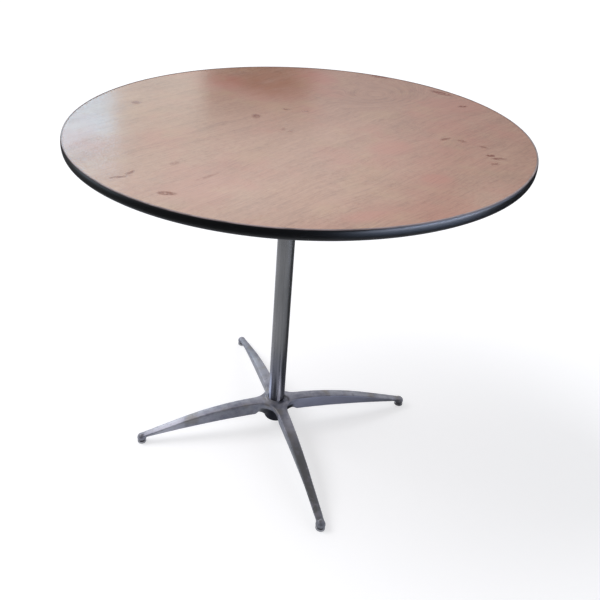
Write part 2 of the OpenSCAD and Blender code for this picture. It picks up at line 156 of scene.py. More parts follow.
class Sock:
    """A node's output socket, whose operators add Math nodes."""

    def __init__(self, graph: "Graph", source: bpy.types.NodeSocket) -> None:
        """Wrap an output socket of a node tree."""
        self.graph = graph
        self.source = source

    def _math(self, operation: str, *values: "Sock | float", clamp: bool = False) -> "Sock":
        """Add a Math node on the values, whose result may be held between 0 and 1."""
        settings = {"operation": operation, "use_clamp": clamp}
        return self.graph.node("ShaderNodeMath", settings, dict(enumerate(values)))

    def __add__(self, other: "Sock | float") -> "Sock":
        """Add."""
        return self._math("ADD", self, other)

    def __radd__(self, other: float) -> "Sock":
        """Add from the left."""
        return self._math("ADD", other, self)

    def __sub__(self, other: "Sock | float") -> "Sock":
        """Subtract."""
        return self._math("SUBTRACT", self, other)

    def __rsub__(self, other: float) -> "Sock":
        """Subtract from a number."""
        return self._math("SUBTRACT", other, self)

    def __mul__(self, other: "Sock | float") -> "Sock":
        """Multiply."""
        return self._math("MULTIPLY", self, other)

    def __rmul__(self, other: float) -> "Sock":
        """Multiply from the left."""
        return self._math("MULTIPLY", other, self)

    def __abs__(self) -> "Sock":
        """Drop the sign."""
        return self._math("ABSOLUTE", self)

    def sine(self) -> "Sock":
        """Take the sine."""
        return self._math("SINE", self)

    def rise_angle(self) -> "Sock":
        """Take the arc sine, in degrees."""
        return self._math("ARCSINE", self) * math.degrees(1.0)

    def off(self, middle: float) -> "Sock":
        """Take the distance of an angle from another, both in degrees."""
        return abs(self._math("WRAP", self - middle, 180.0, -180.0))

    def most(self, other: "Sock | float") -> "Sock":
        """Take the larger of two values."""
        return self._math("MAXIMUM", self, other)

    def held(self) -> "Sock":
        """Hold the value between 0 and 1."""
        return self._math("ADD", self, 0.0, clamp=True)

    def rise(self, low: float, high: float) -> "Sock":
        """Take a soft step.

        Args:
            low: Where it begins.
            high: Where it ends, which may be lower.

        Returns:
            0 before low, 1 past high and a smooth change between.
        """
        settings = {"interpolation_type": "SMOOTHSTEP", "clamp": True}
        inputs = {"Value": self, "From Min": low, "From Max": high}
        return self.graph.node("ShaderNodeMapRange", settings, inputs)

    def step(self, step: Step) -> "Sock":
        """Take a soft step of a given height."""
        risen = self.rise(step.low, step.high)
        return risen if step.height == 1.0 else risen * step.height

    def level(self) -> "Sock":
        """Drop a point's height."""
        inputs = {0: self, 1: (1.0, 1.0, 0.0)}
        return self.graph.node("ShaderNodeVectorMath", {"operation": "MULTIPLY"}, inputs)

    def length(self) -> "Sock":
        """Take a point's distance from the origin."""
        settings = {"operation": "LENGTH"}
        return self.graph.node("ShaderNodeVectorMath", settings, {0: self}, "Value")

    def part(self, axis: str) -> "Sock":
        """Take one coordinate of a point, X, Y or Z."""
        return self.graph.node("ShaderNodeSeparateXYZ", None, {0: self}, axis)

    def azimuth(self) -> "Sock":
        """Take the angle of a point to the right from +Y, in degrees."""
        return self._math("ARCTAN2", self.part("X"), self.part("Y")) * math.degrees(1.0)


Value = Sock | float | tuple[float, ...]


class Graph:
    """The node tree of one material or world."""

    def __init__(self, owner: Material | bpy.types.World) -> None:
        """Take a new material or world with its own first nodes.

        Args:
            owner: The material or world.
        """
        self.owner = owner
        owner.use_nodes = True
        self.tree = owner.node_tree
        self.shader = self.tree.nodes.get("Principled BSDF")

    @cached_property
    def place(self) -> Sock:
        """The point in the piece's own frame, in metres."""
        return self.node("ShaderNodeTexCoord", output="Object")

    def node(
        self,
        kind: str,
        settings: dict[str, object] | None = None,
        inputs: dict[str | int, Value] | None = None,
        output: str | int = 0,
    ) -> Sock:
        """Add a node, set it up and join its sockets.

        Args:
            kind: The node's type.
            settings: Its properties, or "stops" for a ramp's positions and colours.
            inputs: Values or links of its sockets, by name or index.
            output: Name or index of the output that is wanted.

        Returns:
            That output.
        """
        made = self.tree.nodes.new(kind)
        for key, value in (settings or {}).items():
            if key == "stops":
                self._stops(made.color_ramp, value)
            else:
                setattr(made, key, value)
        for key, value in (inputs or {}).items():
            self.join(made.inputs[key], value)
        return Sock(self, made.outputs[output])

    def _stops(self, ramp: bpy.types.ColorRamp, stops: Sequence[tuple[float, Colour]]) -> None:
        """Fill a colour ramp.

        Args:
            ramp: The ramp.
            stops: Its positions and colours, in order.
        """
        while len(ramp.elements) < len(stops):
            ramp.elements.new(1.0)
        for element, (position, colour) in zip(ramp.elements, stops):
            element.position = position
            element.color = colour

    def join(self, socket: bpy.types.NodeSocket, value: Value) -> None:
        """Link a socket, or give it a value.

        Args:
            socket: The input socket.
            value: Another node's output, a number, a vector or a colour.
        """
        if isinstance(value, Sock):
            self.tree.links.new(value.source, socket)
        else:
            socket.default_value = value

    def wear(self, **inputs: Value) -> None:
        """Set the Principled shader's sockets, named with _ for a space."""
        for key, value in inputs.items():
            self.join(self.shader.inputs[key.replace("_", " ")], value)

    def ray(self, kind: str) -> Sock:
        """Tell whether a ray is of one kind, such as "Is Camera Ray"."""
        return self.node("ShaderNodeLightPath", output=kind)

    def mapped(
        self,
        vector: Sock,
        centre: Triple = (0.0, 0.0, 0.0),
        turn: float = 0.0,
        scale: Triple = (1.0, 1.0, 1.0),
    ) -> Sock:
        """Centre, turn and stretch a point about Z.

        Args:
            vector: The point.
            centre: The new origin.
            turn: Angle of the new X axis from the old one, in degrees.
            scale: Stretch along the new axes.

        Returns:
            The point in the new axes.
        """
        inputs = {
            "Vector": vector,
            "Location": centre,
            "Rotation": (0.0, 0.0, math.radians(turn)),
            "Scale": tuple(1 / part for part in scale),
        }
        return self.node("ShaderNodeMapping", {"vector_type": "TEXTURE"}, inputs)

    def _scaled(self, vector: Sock | None, scale: Scale) -> Sock:
        """Stretch a point for a pattern.

        Args:
            vector: The point, or nothing for the point on the piece.
            scale: Cells per metre along all axes, X and Y, or each axis.

        Returns:
            The point in cells.
        """
        axes = scale if isinstance(scale, tuple) else (scale, scale, scale)
        return self.mapped(vector or self.place, scale=(axes + (1.0,))[:3])

    def noise(self, noise: Noise, vector: Sock | None = None) -> Sock:
        """Give a cloud noise.

        Args:
            noise: Its settings.
            vector: The point, or nothing for the point on the piece.

        Returns:
            The noise between 0 and 1.
        """
        inputs = {
            "Vector": self._scaled(vector, noise.scale),
            "Scale": 1.0,
            "Detail": noise.detail,
            "Roughness": noise.roughness,
            "Distortion": noise.warp,
        }
        return self.node("ShaderNodeTexNoise", None, inputs, "Fac")

    def cells(self, scale: Scale, vector: Sock | None = None) -> Sock:
        """Give the distance to the nearest of many scattered points, in cells."""
        inputs = {"Vector": self._scaled(vector, scale), "Scale": 1.0}
        return self.node("ShaderNodeTexVoronoi", None, inputs, "Distance")

    def ramp(self, value: Sock, *stops: tuple[float, Colour]) -> Sock:
        """Colour a value between 0 and 1 by positions and colours, in order."""
        return self.node("ShaderNodeValToRGB", {"stops": stops}, {"Fac": value}, "Color")

    def blend(self, factor: Sock | float, first: Value, second: Value, mode: str = "MIX") -> Sock:
        """Mix two colours by the share of the second."""
        settings = {"data_type": "RGBA", "blend_type": mode}
        return self.node("ShaderNodeMix", settings, {0: factor, 6: first, 7: second}, 2)

    def spot(
        self,
        centre: tuple[float, float],
        size: tuple[float, float],
        turn: float = 0.0,
        soft: float = 0.5,
    ) -> Sock:
        """Mask one soft oval on a level surface.

        Args:
            centre: The oval's middle.
            size: Its half length and half width.
            turn: Angle of its length from +X, in degrees.
            soft: Share of its radius over which it fades.

        Returns:
            1 inside the oval and 0 outside.
        """
        scale = (1 / size[0], 1 / size[1], 1 / size[1])
        near = self.mapped(self.place.level(), (*centre, 0.0), turn, scale)
        return near.length().rise(1.0, 1.0 - soft)

    def bump(self, height: Sock, depth: float) -> Sock:
        """Turn a height, of which 1 is depth in metres, into a normal."""
        inputs = {"Strength": 1.0, "Distance": depth, "Height": height}
        return self.node("ShaderNodeBump", None, inputs, "Normal")


# Finishes


@dataclass(frozen=True)
class Mark:
    """A scuff, nick, stain or worn place, in millimetres in plan."""

    at: tuple[float, float]
    size: tuple[float, float]
    turn: float
    depth: float

    def over(self, graph: Graph, soft: float = 0.7) -> Sock:
        """Mask the mark, which fades over the soft share of its radius."""
        at, size = ((across * MM, along * MM) for across, along in (self.at, self.size))
        return graph.spot(at, size, self.turn, soft) * self.depth


@dataclass(frozen=True)
class ToneMark(Mark):
    """A mark of another tone, on every face or on upright ones only. Most are painted highlights or
    painted shade.
    """

    colour: Colour = BLACK
    sides_only: bool = False


@dataclass(frozen=True)
class Finish:
    """What all finishes share: a name, and how the material starts."""

    name: str

    def build(self) -> Material:
        """Make the material.

        Returns:
            The material, finished.
        """
        graph = Graph(bpy.data.materials.new(self.name))
        self.lay(graph)
        return graph.owner

    def lay(self, graph: Graph) -> None:
        """Lay the finish on a new material, as each kind of finish does."""
        raise NotImplementedError


@dataclass(frozen=True)
class RotaryVeneer(Finish):
    """Rotary-cut wood under a clear coat, with loops of figure round a knot and fine pores."""

    light: Colour
    middle: Colour
    dark: Colour
    rose: Colour
    ochre: Colour
    grain_turn: float = 30.0
    roughness: float = 0.15
    knot: tuple[float, float] = (0.262, 0.160)
    knot_r: float = 0.15
    knot_rise: float = 0.15
    loops_per_m: float = 150.0
    marks: tuple[Mark, ...] = ()
    blushes: tuple[Mark, ...] = ()
    pebbles: tuple[Mark, ...] = ()
    tints: tuple[ToneMark, ...] = ()
    mark_colour: Colour = paint(116, 60, 42)
    tones: Triple = (0.38, 0.50, 0.62)
    waves: Noise = Noise((4.0, 4.0))
    blotches: Noise = Noise((5.0, 13.0), 4.0, 0.6, 0.4)
    streaks: Noise = Noise((1.8, 70.0), 4.0, 0.6)
    lines: Noise = Noise((1.5, 125.0))
    line_step: Step = Step(0.56, 0.70, 0.34)
    fibres: Noise = Noise((16.0, 420.0), 2.0, 0.6)
    fibre_step: Step = Step(0.52, 0.30, 0.24)
    flecks: Noise = Noise((75.0, 150.0), 4.0, 0.75)
    gold: Noise = Noise((11.0, 11.0), 3.0, 0.6)
    gold_step: Step = Step(0.50, 0.72, 0.45)
    patch_step: Step = Step(0.25, 0.50)
    haze: Noise = Noise((9.0, 9.0), 3.0)
    peel: Noise = Noise((210.0, 210.0))
    peel_depth: float = 1.6
    relief: float = 0.07 * MM

    def lay(self, graph: Graph) -> None:
        """Lay the wood, then its figure and wear, then the coat over them.

        Args:
            graph: The new material.
        """
        grain = self._bent_grain(graph)
        blotches = graph.noise(self.blotches, grain)
        streaks = graph.noise(self.streaks, grain)
        fibres = graph.noise(self.fibres, grain)
        flecks = graph.noise(self.flecks, grain)
        tone = blotches * 0.32 + streaks * 0.26 + flecks * 0.42
        wood = graph.ramp(tone, *zip(self.tones, (self.dark, self.middle, self.light)))
        lines = graph.noise(self.lines, grain).step(self.line_step)
        wood = graph.blend(lines, wood, self.dark)
        wood = graph.blend(self._blush(graph), wood, self.rose)
        wood = graph.blend(graph.noise(self.gold).step(self.gold_step), wood, self.ochre)
        for tint in self.tints:
            share = tint.over(graph) * blotches.step(self.patch_step)
            wood = graph.blend(share, wood, tint.colour)
        wood = graph.blend(self._loops(graph, grain), wood, self.dark)
        wood = graph.blend(fibres.step(self.fibre_step), wood, self.dark, "MULTIPLY")
        pores = self._pores(graph, grain)
        wood = graph.blend(pores * 0.35, wood, self.mark_colour)
        scuffs = self._scuffs(graph)
        wood = graph.blend(scuffs, wood, self.mark_colour)
        gloss = self.roughness + (graph.noise(self.haze) - 0.5) * 0.10 + pores * 0.1 + scuffs * 0.3
        depth: Value = self.peel_depth
        for patch in self.pebbles:
            depth = patch.over(graph) + depth
        height = fibres * 0.3 + graph.noise(self.peel) * depth - pores * 0.5 - scuffs * 0.8
        normal = graph.bump(height, self.relief)
        graph.wear(Base_Color=wood, Roughness=gloss.held(), Normal=normal, IOR=1.5)

    def _bent_grain(self, graph: Graph) -> Sock:
        """Turn the point so that X runs along the grain, which bends round the knot.

        Args:
            graph: The material.

        Returns:
            The point in the grain's own axes.
        """
        grain = graph.mapped(graph.place, turn=self.grain_turn)
        reach = (self.knot_r, self.knot_r * 0.75)
        hill = graph.spot(self.knot, reach, self.grain_turn, 1.0)
        waves = graph.noise(self.waves)
        across = grain.part("Y") + hill * self.knot_rise + waves * 0.05
        return graph.node("ShaderNodeCombineXYZ", None, {"X": grain.part("X"), "Y": across})

    def _loops(self, graph: Graph, grain: Sock) -> Sock:
        """Mask the nested loops round the knot.

        Args:
            graph: The material.
            grain: The point in the grain's own axes.

        Returns:
            The mask.
        """
        near = graph.spot(self.knot, (self.knot_r, self.knot_r), 0.0, 0.9)
        ragged = graph.noise(Noise((17.0, 17.0), 4.0, 0.6))
        phase = grain.part("Y") * self.loops_per_m + ragged * 9.0
        broken = graph.noise(Noise((12.0, 26.0))).rise(0.44, 0.60)
        return phase.sine().rise(0.1, 0.9) * near * broken * 0.95

    def _blush(self, graph: Graph) -> Sock:
        """Mask the patches where the wood is redder.

        Args:
            graph: The material.

        Returns:
            The mask.
        """
        clouds = graph.noise(Noise((6.0, 6.0), 4.0, 0.65))
        total = clouds.rise(0.44, 0.66) * 0.6
        for patch in self.blushes:
            total = total.most(patch.over(graph) * clouds.step(self.patch_step))
        return total

    def _pores(self, graph: Graph, grain: Sock) -> Sock:
        """Mask the short dark pores along the grain, which come in patches."""
        patches = graph.noise(Noise((5.0, 30.0)), grain).rise(0.40, 0.62)
        return graph.cells((110.0, 900.0), grain).rise(0.30, 0.12) * patches

    def _scuffs(self, graph: Graph) -> Sock:
        """Mask the wear: specks all over, and the marks in their places.

        Args:
            graph: The material.

        Returns:
            The mask.
        """
        total = graph.cells((24.0, 24.0)).rise(0.06, 0.02) * 0.4
        for mark in self.marks:
            total = total.most(mark.over(graph, 0.5))
        return total * graph.noise(Noise((160.0, 160.0))).rise(0.32, 0.50)


@dataclass(frozen=True)
class LayeredPly(Finish):
    """The core of the panel, whose plies show at cut edges."""

    name: str = "core_plies"
    pale: Colour = paint(196, 160, 128)
    brown: Colour = paint(150, 110, 84)
    ply: float = 1.6 * MM
    fibres: Noise = Noise((90.0, 90.0, 900.0), 3.0)
    relief: float = 0.15 * MM

    def lay(self, graph: Graph) -> None:
        """Lay pale and brown plies by height.

        Args:
            graph: The new material.
        """
        level = graph.place.part("Z") * (math.pi / self.ply)
        plies = level.sine().rise(-0.25, 0.25)
        fibres = graph.noise(self.fibres)
        wood = graph.blend(plies, self.pale, self.brown)
        wood = graph.blend(fibres.rise(0.6, 0.35) * 0.35, wood, self.brown, "MULTIPLY")
        normal = graph.bump(fibres + plies * 0.4, self.relief)
        graph.wear(Base_Color=wood, Roughness=0.62 + fibres * 0.2, Normal=normal)


@dataclass(frozen=True)
class EdgeVinyl(Finish):
    """Black flexible moulding with faint scuffs, a painted sheen on its lip and a painted highlight
    on one shoulder.
    """

    name: str = "edge_vinyl"
    black: Colour = paint(12, 13, 15)
    scuffed: Colour = paint(44, 46, 52)
    # pale colour painted on the lip's top as sheen
    lip_sheen: Colour = paint(152, 134, 134)
    lip: Step = Step(761.2 * MM, 762.3 * MM)
    # painted highlight, bluish grey, on the upper shoulder at the front right
    painted_highlight: ToneMark = ToneMark((140, -434), (230, 80), 19, 0.8, paint(122, 129, 146))
    shoulder: Step = Step(757.0 * MM, 760.6 * MM)
    roughness: float = 0.30
    grit: Noise = Noise(900.0)
    # noise of the wear, which also breaks up the painted sheen on the lip
    wear_and_sheen: Noise = Noise((26.0, 26.0, 190.0), 4.0, 0.65)
    clouds: Noise = Noise(7.0)
    relief: float = 0.05 * MM

    def lay(self, graph: Graph) -> None:
        """Lay black vinyl and its wear, then the painted sheen and highlight.

        Args:
            graph: The new material.
        """
        height = graph.place.part("Z")
        wear_and_sheen = graph.noise(self.wear_and_sheen)
        worn = wear_and_sheen.rise(0.60, 0.78)
        vinyl = graph.blend(worn * 0.45, self.black, self.scuffed)
        # painted highlight: the bluish-grey spot on the upper shoulder
        painted_highlight = self.painted_highlight.over(graph) * height.step(self.shoulder)
        vinyl = graph.blend(painted_highlight, vinyl, self.painted_highlight.colour)
        # painted sheen on the lip's top, patchy with the wear noise
        lip = height.step(self.lip) * (0.45 + wear_and_sheen.rise(0.35, 0.60) * 0.5)
        cloudy = (graph.noise(self.clouds) - 0.5) * 0.12
        graph.wear(
            Base_Color=graph.blend(lip, vinyl, self.lip_sheen),
            Roughness=self.roughness + cloudy + worn * 0.2,
            Normal=graph.bump(graph.noise(self.grit) * 0.7 - worn * 0.3, self.relief),
        )


@dataclass(frozen=True)
class CastMetal(Finish):
    """Worn cast aluminium with a mottled skin and grime in its pits, and patches of painted light
    and shade.

    The rough place below the hub, within under_r and below under_z, is painted dark as shade.
    """

    bright: Colour = paint(170, 171, 181)
    dull: Colour = paint(121, 123, 136)
    brown: Colour = paint(132, 126, 112)
    grime: Colour = paint(52, 53, 62)
    shade: Colour = paint(26, 27, 36)
    roughness: float = 0.36
    under_r: float = 0.0
    under_z: float = 0.0
    # patches of painted light and shade, given by the casting that uses this finish
    patches: tuple[ToneMark, ...] = ()
    mottle: Noise = Noise(60.0, 4.0, 0.6)
    broad: Noise = Noise(11.0)
    skin: Noise = Noise(620.0, 3.0)
    tan: Noise = Noise(26.0, 3.0)
    pits_per_m: float = 340.0
    soiled: Step = Step(22.0 * MM, 6.0 * MM, 0.3)
    upright: Step = Step(0.75, 0.05)
    relief: float = 0.12 * MM

    def lay(self, graph: Graph) -> None:
        """Lay the cast skin, then its stains, then its patches of painted light and shade.

        Args:
            graph: The new material.
        """
        height = graph.place.part("Z")
        mottle = graph.noise(self.mottle)
        pits = graph.cells(self.pits_per_m).rise(0.24, 0.12) * 0.5
        tone = mottle * 0.55 + graph.noise(self.broad) * 0.45
        metal = graph.ramp(tone, (0.36, self.dull), (0.62, self.bright))
        metal = graph.blend(graph.noise(self.tan).rise(0.52, 0.68) * 0.5, metal, self.brown)
        stain = mottle.rise(0.60, 0.76) * 0.4 + height.step(self.soiled) + pits * 0.5
        metal = graph.blend(stain.held(), metal, self.grime)
        normal = graph.node("ShaderNodeTexCoord", output="Normal")
        sides = normal.part("Z").step(self.upright)
        # patches of painted light and shade; side-only ones lie on upright faces
        for patch in self.patches:
            mask = sides if patch.sides_only else mottle.rise(0.30, 0.50)
            metal = graph.blend(patch.over(graph) * mask, metal, patch.colour)
        # painted shade: dark below the hub
        near = graph.place.level().length().rise(self.under_r, self.under_r * 0.8)
        under = near * height.rise(self.under_z, self.under_z - 5 * MM)
        graph.wear(
            Base_Color=graph.blend(under, metal, self.shade),
            Metallic=(0.6 - stain * 0.2).held(),
            Roughness=(self.roughness + (mottle - 0.5) * 0.22 + stain * 0.15).held(),
            Normal=graph.bump(graph.noise(self.skin) * 0.6 + mottle * 0.9 - pits, self.relief),
        )


@dataclass(frozen=True)
class DrawnTube(Finish):
    """Drawn aluminium tube, dulled, with fine lines along its length and painted highlights low
    down.
    """

    name: str = "drawn_tube"
    bright: Colour = paint(143, 142, 141)
    dull: Colour = paint(110, 110, 109)
    cool: Colour = paint(122, 124, 140)
    roughness: float = 0.24
    # two pale streaks painted low on the tube as highlights, less metallic where they lie
    wear_and_sheen: tuple[ToneMark, ...] = (
        ToneMark((-0.5, -19), (6, 6), 0, 1.0, paint(205, 205, 218)),
        ToneMark((-18.5, -4.5), (7, 7), 0, 1.0, paint(200, 210, 240)),
    )
    highlight_step: Step = Step(175 * MM, 95 * MM)
    cool_step: Step = Step(260 * MM, 150 * MM, 0.5)
    lines: Noise = Noise((700.0, 700.0, 2.5), 3.0, 0.6)
    smears: Noise = Noise((40.0, 40.0, 7.0), 3.0)
    relief: float = 0.03 * MM

    def lay(self, graph: Graph) -> None:
        """Lay the drawn metal, then the painted highlights.

        Args:
            graph: The new material.
        """
        lines = graph.noise(self.lines)
        smears = graph.noise(self.smears)
        dents = graph.cells((90.0, 90.0, 40.0)).rise(0.10, 0.04)
        metal = graph.ramp(lines * 0.4 + smears * 0.6, (0.35, self.dull), (0.65, self.bright))
        height = graph.place.part("Z")
        metal = graph.blend(height.step(self.cool_step), metal, self.cool)
        near = height.step(self.highlight_step)
        painted_highlight: Value = 0.0
        # painted highlights, each fading out upwards
        for highlight in self.wear_and_sheen:
            share = highlight.over(graph) * near
            metal = graph.blend(share, metal, highlight.colour)
            painted_highlight = share + painted_highlight
        graph.wear(
            Base_Color=metal,
            Metallic=(1.0 - painted_highlight * 0.6).held(),
            Roughness=(self.roughness + (smears - 0.5) * 0.25 + dents * 0.1).held(),
            Normal=graph.bump(lines - dents * 0.5, self.relief),
        )


@dataclass(frozen=True)
class PlatedSteel(Finish):
    """Zinc or nickel plated steel with a few specks of rust."""

    bright: Colour = paint(188, 186, 180)
    dull: Colour = paint(142, 140, 134)
    rust: Colour = paint(104, 66, 42)
    roughness: float = 0.32
    rusting: float = 0.3
    spangle: Noise = Noise(420.0, 3.0)
    specks: Noise = Noise(130.0, 4.0, 0.65)
    relief: float = 0.05 * MM

    def lay(self, graph: Graph) -> None:
        """Lay the plating, then the rust.

        Args:
            graph: The new material.
        """
        spangle = graph.noise(self.spangle)
        rusty = graph.noise(self.specks).rise(0.62, 0.78) * self.rusting
        metal = graph.ramp(spangle, (0.35, self.dull), (0.65, self.bright))
        graph.wear(
            Base_Color=graph.blend(rusty, metal, self.rust),
            Metallic=1.0 - rusty,
            Roughness=(self.roughness + (spangle - 0.5) * 0.2 + rusty * 0.5).held(),
            Normal=graph.bump(spangle * 0.4 + rusty, self.relief),
        )


@dataclass(frozen=True)
class MouldedNylon(Finish):
    """Off-white nylon, scuffed and soiled where it meets the floor."""

    name: str = "moulded_nylon"
    clean: Colour = paint(214, 211, 200)
    soiled: Colour = paint(142, 134, 120)
    tread: Step = Step(1.2 * MM, 0.0, 0.3)
    dirt: Noise = Noise((260.0, 260.0, 500.0), 4.0, 0.6)
    relief: float = 0.05 * MM

    def lay(self, graph: Graph) -> None:
        """Lay the nylon and its dirt.

        Args:
            graph: The new material.
        """
        dirt = graph.noise(self.dirt)
        soil = (dirt.rise(0.45, 0.75) * 0.6 + graph.place.part("Z").step(self.tread)).held()
        graph.wear(
            Base_Color=graph.blend(soil, self.clean, self.soiled),
            Roughness=0.45 + dirt * 0.2,
            Normal=graph.bump(dirt, self.relief),
        )


@dataclass(frozen=True)
class Pool:
    """A soft oval of light or shade near the column, which only gloss sees.

    Every azimuth runs in degrees to the right from straight ahead of the camera.
    """

    azimuth: float
    reach: float
    half_length: float
    half_width: float
    depth: float


@dataclass(frozen=True)
class Fan:
    """A wedge of light that grows outwards over the floor, which only gloss sees."""

    azimuth: float
    half_width: float
    soft: float
    start: float
    full: float
    colour: Colour

    def over(self, azimuth: Sock, reach: Sock) -> Sock:
        """Mask the wedge by azimuth and distance."""
        wide = azimuth.off(self.azimuth).rise(self.half_width + self.soft, self.half_width)
        return wide * reach.rise(self.start, self.full)


@dataclass(frozen=True)
class StudioFloor(Finish):
    """Pale floor that keeps shadows and blends into the white backdrop."""

    name: str = "studio_floor"
    colour: Colour = (0.55, 0.55, 0.57, 1.0)
    lift: float = 0.54
    glow: Colour = (0.19, 0.21, 0.25, 1.0)
    glow_r: float = 1.6
    turn: float = 0.0
    streaks: tuple[Pool, ...] = (
        Pool(146, 0.20, 0.15, 0.035, 1.4), Pool(-70, 0.20, 0.15, 0.09, 0.25),
    )
    flags: tuple[Pool, ...] = (
        Pool(-133, 0.20, 0.15, 0.025, 0.5), Pool(108, 0.24, 0.17, 0.16, 0.85),
        Pool(-155, 0.15, 0.10, 0.08, 0.85),
    )
    outside: Step = Step(1.0, 1.4, 0.93)
    fans: tuple[Fan, ...] = (
        Fan(126, 14, 24, 1.5, 2.6, (1.7, 2.2, 3.3, 1.0)),
        Fan(120, 18, 18, 2.5, 4.2, (4.3, 4.4, 5.0, 1.0)),
        Fan(121, 20, 10, 4.5, 8.0, (4.0, 4.6, 6.0, 1.0)),
        Fan(-85, 8, 16, 2.2, 4.5, (0.9, 1.1, 1.3, 1.0)),
        Fan(-75, 15, 50, 0.2, 0.8, (0.07, 0.07, 0.07, 1.0)),
    )
    wedge_azimuth: float = 60.0
    wedge: Step = Step(58.0, 18.0, 0.8)

    def lay(self, graph: Graph) -> None:
        """Lay a floor that the camera sees lifted to white and gloss sees lit in places.

        Args:
            graph: The new material.
        """
        camera = graph.ray("Is Camera Ray")
        gloss = graph.ray("Is Glossy Ray")
        reach = graph.place.length()
        azimuth = graph.mapped(graph.place, turn=self.turn).azimuth()
        flags = self._pools(graph, self.flags).most(reach.step(self.outside))
        flags = flags.most(azimuth.off(self.wedge_azimuth).step(self.wedge))
        graph.wear(
            Base_Color=graph.blend(gloss * flags, self.colour, BLACK),
            Roughness=0.9 + graph.noise(Noise(3.0)) * 0.05,
            Specular_IOR_Level=0.0,
        )
        under = graph.spot((0.0, 0.0), (self.glow_r, self.glow_r))
        sheen = graph.blend(under * (1.0 - flags), BLACK, self.glow)
        lights = [(self._pools(graph, self.streaks), self.colour)]
        lights += [(fan.over(azimuth, reach), fan.colour) for fan in self.fans]
        for share, colour in lights:
            sheen = graph.blend(1.0, sheen, graph.blend(share, BLACK, colour), "ADD")
        light = graph.blend(camera, graph.blend(gloss, BLACK, sheen), WHITE)
        strength = camera * self.lift + gloss
        glow = graph.node("ShaderNodeEmission", None, {"Color": light, "Strength": strength})
        lit = Sock(graph, graph.shader.outputs["BSDF"])
        both = graph.node("ShaderNodeAddShader", None, {0: lit, 1: glow})
        graph.join(graph.tree.nodes["Material Output"].inputs["Surface"], both)

    def _pools(self, graph: Graph, pools: Sequence[Pool]) -> Sock:
        """Mask soft ovals on the floor round the column.

        Args:
            graph: The floor's material.
            pools: The ovals.

        Returns:
            The mask.
        """
        total = None
        for pool in pools:
            turn = self.turn + 90.0 - pool.azimuth
            angle = math.radians(turn)
            centre = (pool.reach * math.cos(angle), pool.reach * math.sin(angle))
            mask = graph.spot(centre, (pool.half_length, pool.half_width), turn, 0.7) * pool.depth
            total = mask if total is None else total.most(mask)
        return total


@dataclass(frozen=True)
class Softbox:
    """A soft patch of light or shade that only gloss sees, far from the table.

    Angles are degrees, and each has the width over which the patch fades.
    """

    azimuth: float
    elevation: float
    half_width: float
    half_height: float
    soft: tuple[float, float]
    colour: Colour

    def over(self, azimuth: Sock, elevation: Sock) -> Sock:
        """Mask the patch by the direction that a ray goes in.

        Args:
            azimuth: Azimuth of that direction.
            elevation: Elevation of that direction.

        Returns:
            The mask.
        """
        above = abs(elevation - self.elevation)
        wide = azimuth.off(self.azimuth).rise(self.half_width + self.soft[0], self.half_width)
        return wide * above.rise(self.half_height + self.soft[1], self.half_height)


# Mesh building


def only(kind: type, items: Iterable[object]) -> list:
    """Pick the items of one kind."""
    return [item for item in items if isinstance(item, kind)]


def swept(mesh: Mesh, angle: float, steps: int, climb: float = 0.0, whole: bool = False) -> None:
    """Sweep all of a mesh about the Z axis.

    Args:
        mesh: The mesh, changed in place.
        angle: Angle of the sweep.
        steps: Steps of the sweep.
        climb: Rise of one step.
        whole: Whether the end joins the start.
    """
    bmesh.ops.spin(
        mesh, geom=[*mesh.verts, *mesh.edges, *mesh.faces], cent=(0, 0, 0), axis=(0, 0, 1),
        dvec=(0, 0, climb), angle=angle, steps=steps, use_merge=whole, use_duplicate=False,
    )


def spun(outline: Outline, steps: int, closed: bool = True, angle: float = FULL_TURN) -> Mesh:
    """Turn a half outline about the Z axis.

    Args:
        outline: Radius and height of each corner.
        steps: Steps round the axis.
        closed: Whether the last corner joins the first.
        angle: Angle of the turn. Less than a full turn is capped at both ends.

    Returns:
        The mesh, closed, with its faces outwards.
    """
    mesh = bmesh.new()
    corners = [mesh.verts.new((radius, 0.0, height)) for radius, height in outline]
    ends = corners[1:] + corners[:1] if closed else corners[1:]
    for pair in zip(corners, ends):
        mesh.edges.new(pair)
    whole = angle == FULL_TURN
    if not whole:
        mesh.faces.new(corners)
    swept(mesh, angle, steps, whole=whole)
    return tidied(mesh)


def tidied(mesh: Mesh) -> Mesh:
    """Merge doubled points and turn the faces outwards.

    Args:
        mesh: The mesh, changed in place.

    Returns:
        The same mesh.
    """
    bmesh.ops.remove_doubles(mesh, verts=mesh.verts, dist=WELD)
    bmesh.ops.recalc_face_normals(mesh, faces=mesh.faces)
    return mesh


def rounded(mesh: Mesh, parts: Iterable, width: float, segments: int, affect: str = "EDGES") -> Mesh:
    """Round edges or corners.

    Args:
        mesh: The mesh, changed in place.
        parts: The edges or corners.
        width: Width of the rounding.
        segments: Steps over the rounding.
        affect: "EDGES" or "VERTICES".

    Returns:
        The same mesh.
    """
    bmesh.ops.bevel(
        mesh, geom=list(parts), offset=width, offset_type="OFFSET", segments=segments,
        profile=0.5, affect=affect, material=-1, clamp_overlap=True,
    )
    return mesh


def softened(mesh: Mesh, width: float) -> Mesh:
    """Round every sharp edge by a width."""
    sharp = [e for e in mesh.edges if e.is_manifold and e.calc_face_angle() > SHARP]
    return rounded(mesh, sharp, width, 2)


def ring(mesh: Mesh, radius: float, height: float, sides: int = ROUND_SIDES) -> Edges:
    """Add a level circle.

    Args:
        mesh: The mesh to add to.
        radius: The circle's radius.
        height: Its height.
        sides: Number of its edges.

    Returns:
        Its edges.
    """
    place = Matrix.Translation((0, 0, height))
    made = bmesh.ops.create_circle(mesh, segments=sides, radius=radius, matrix=place)
    return list({edge for vert in made["verts"] for edge in vert.link_edges})


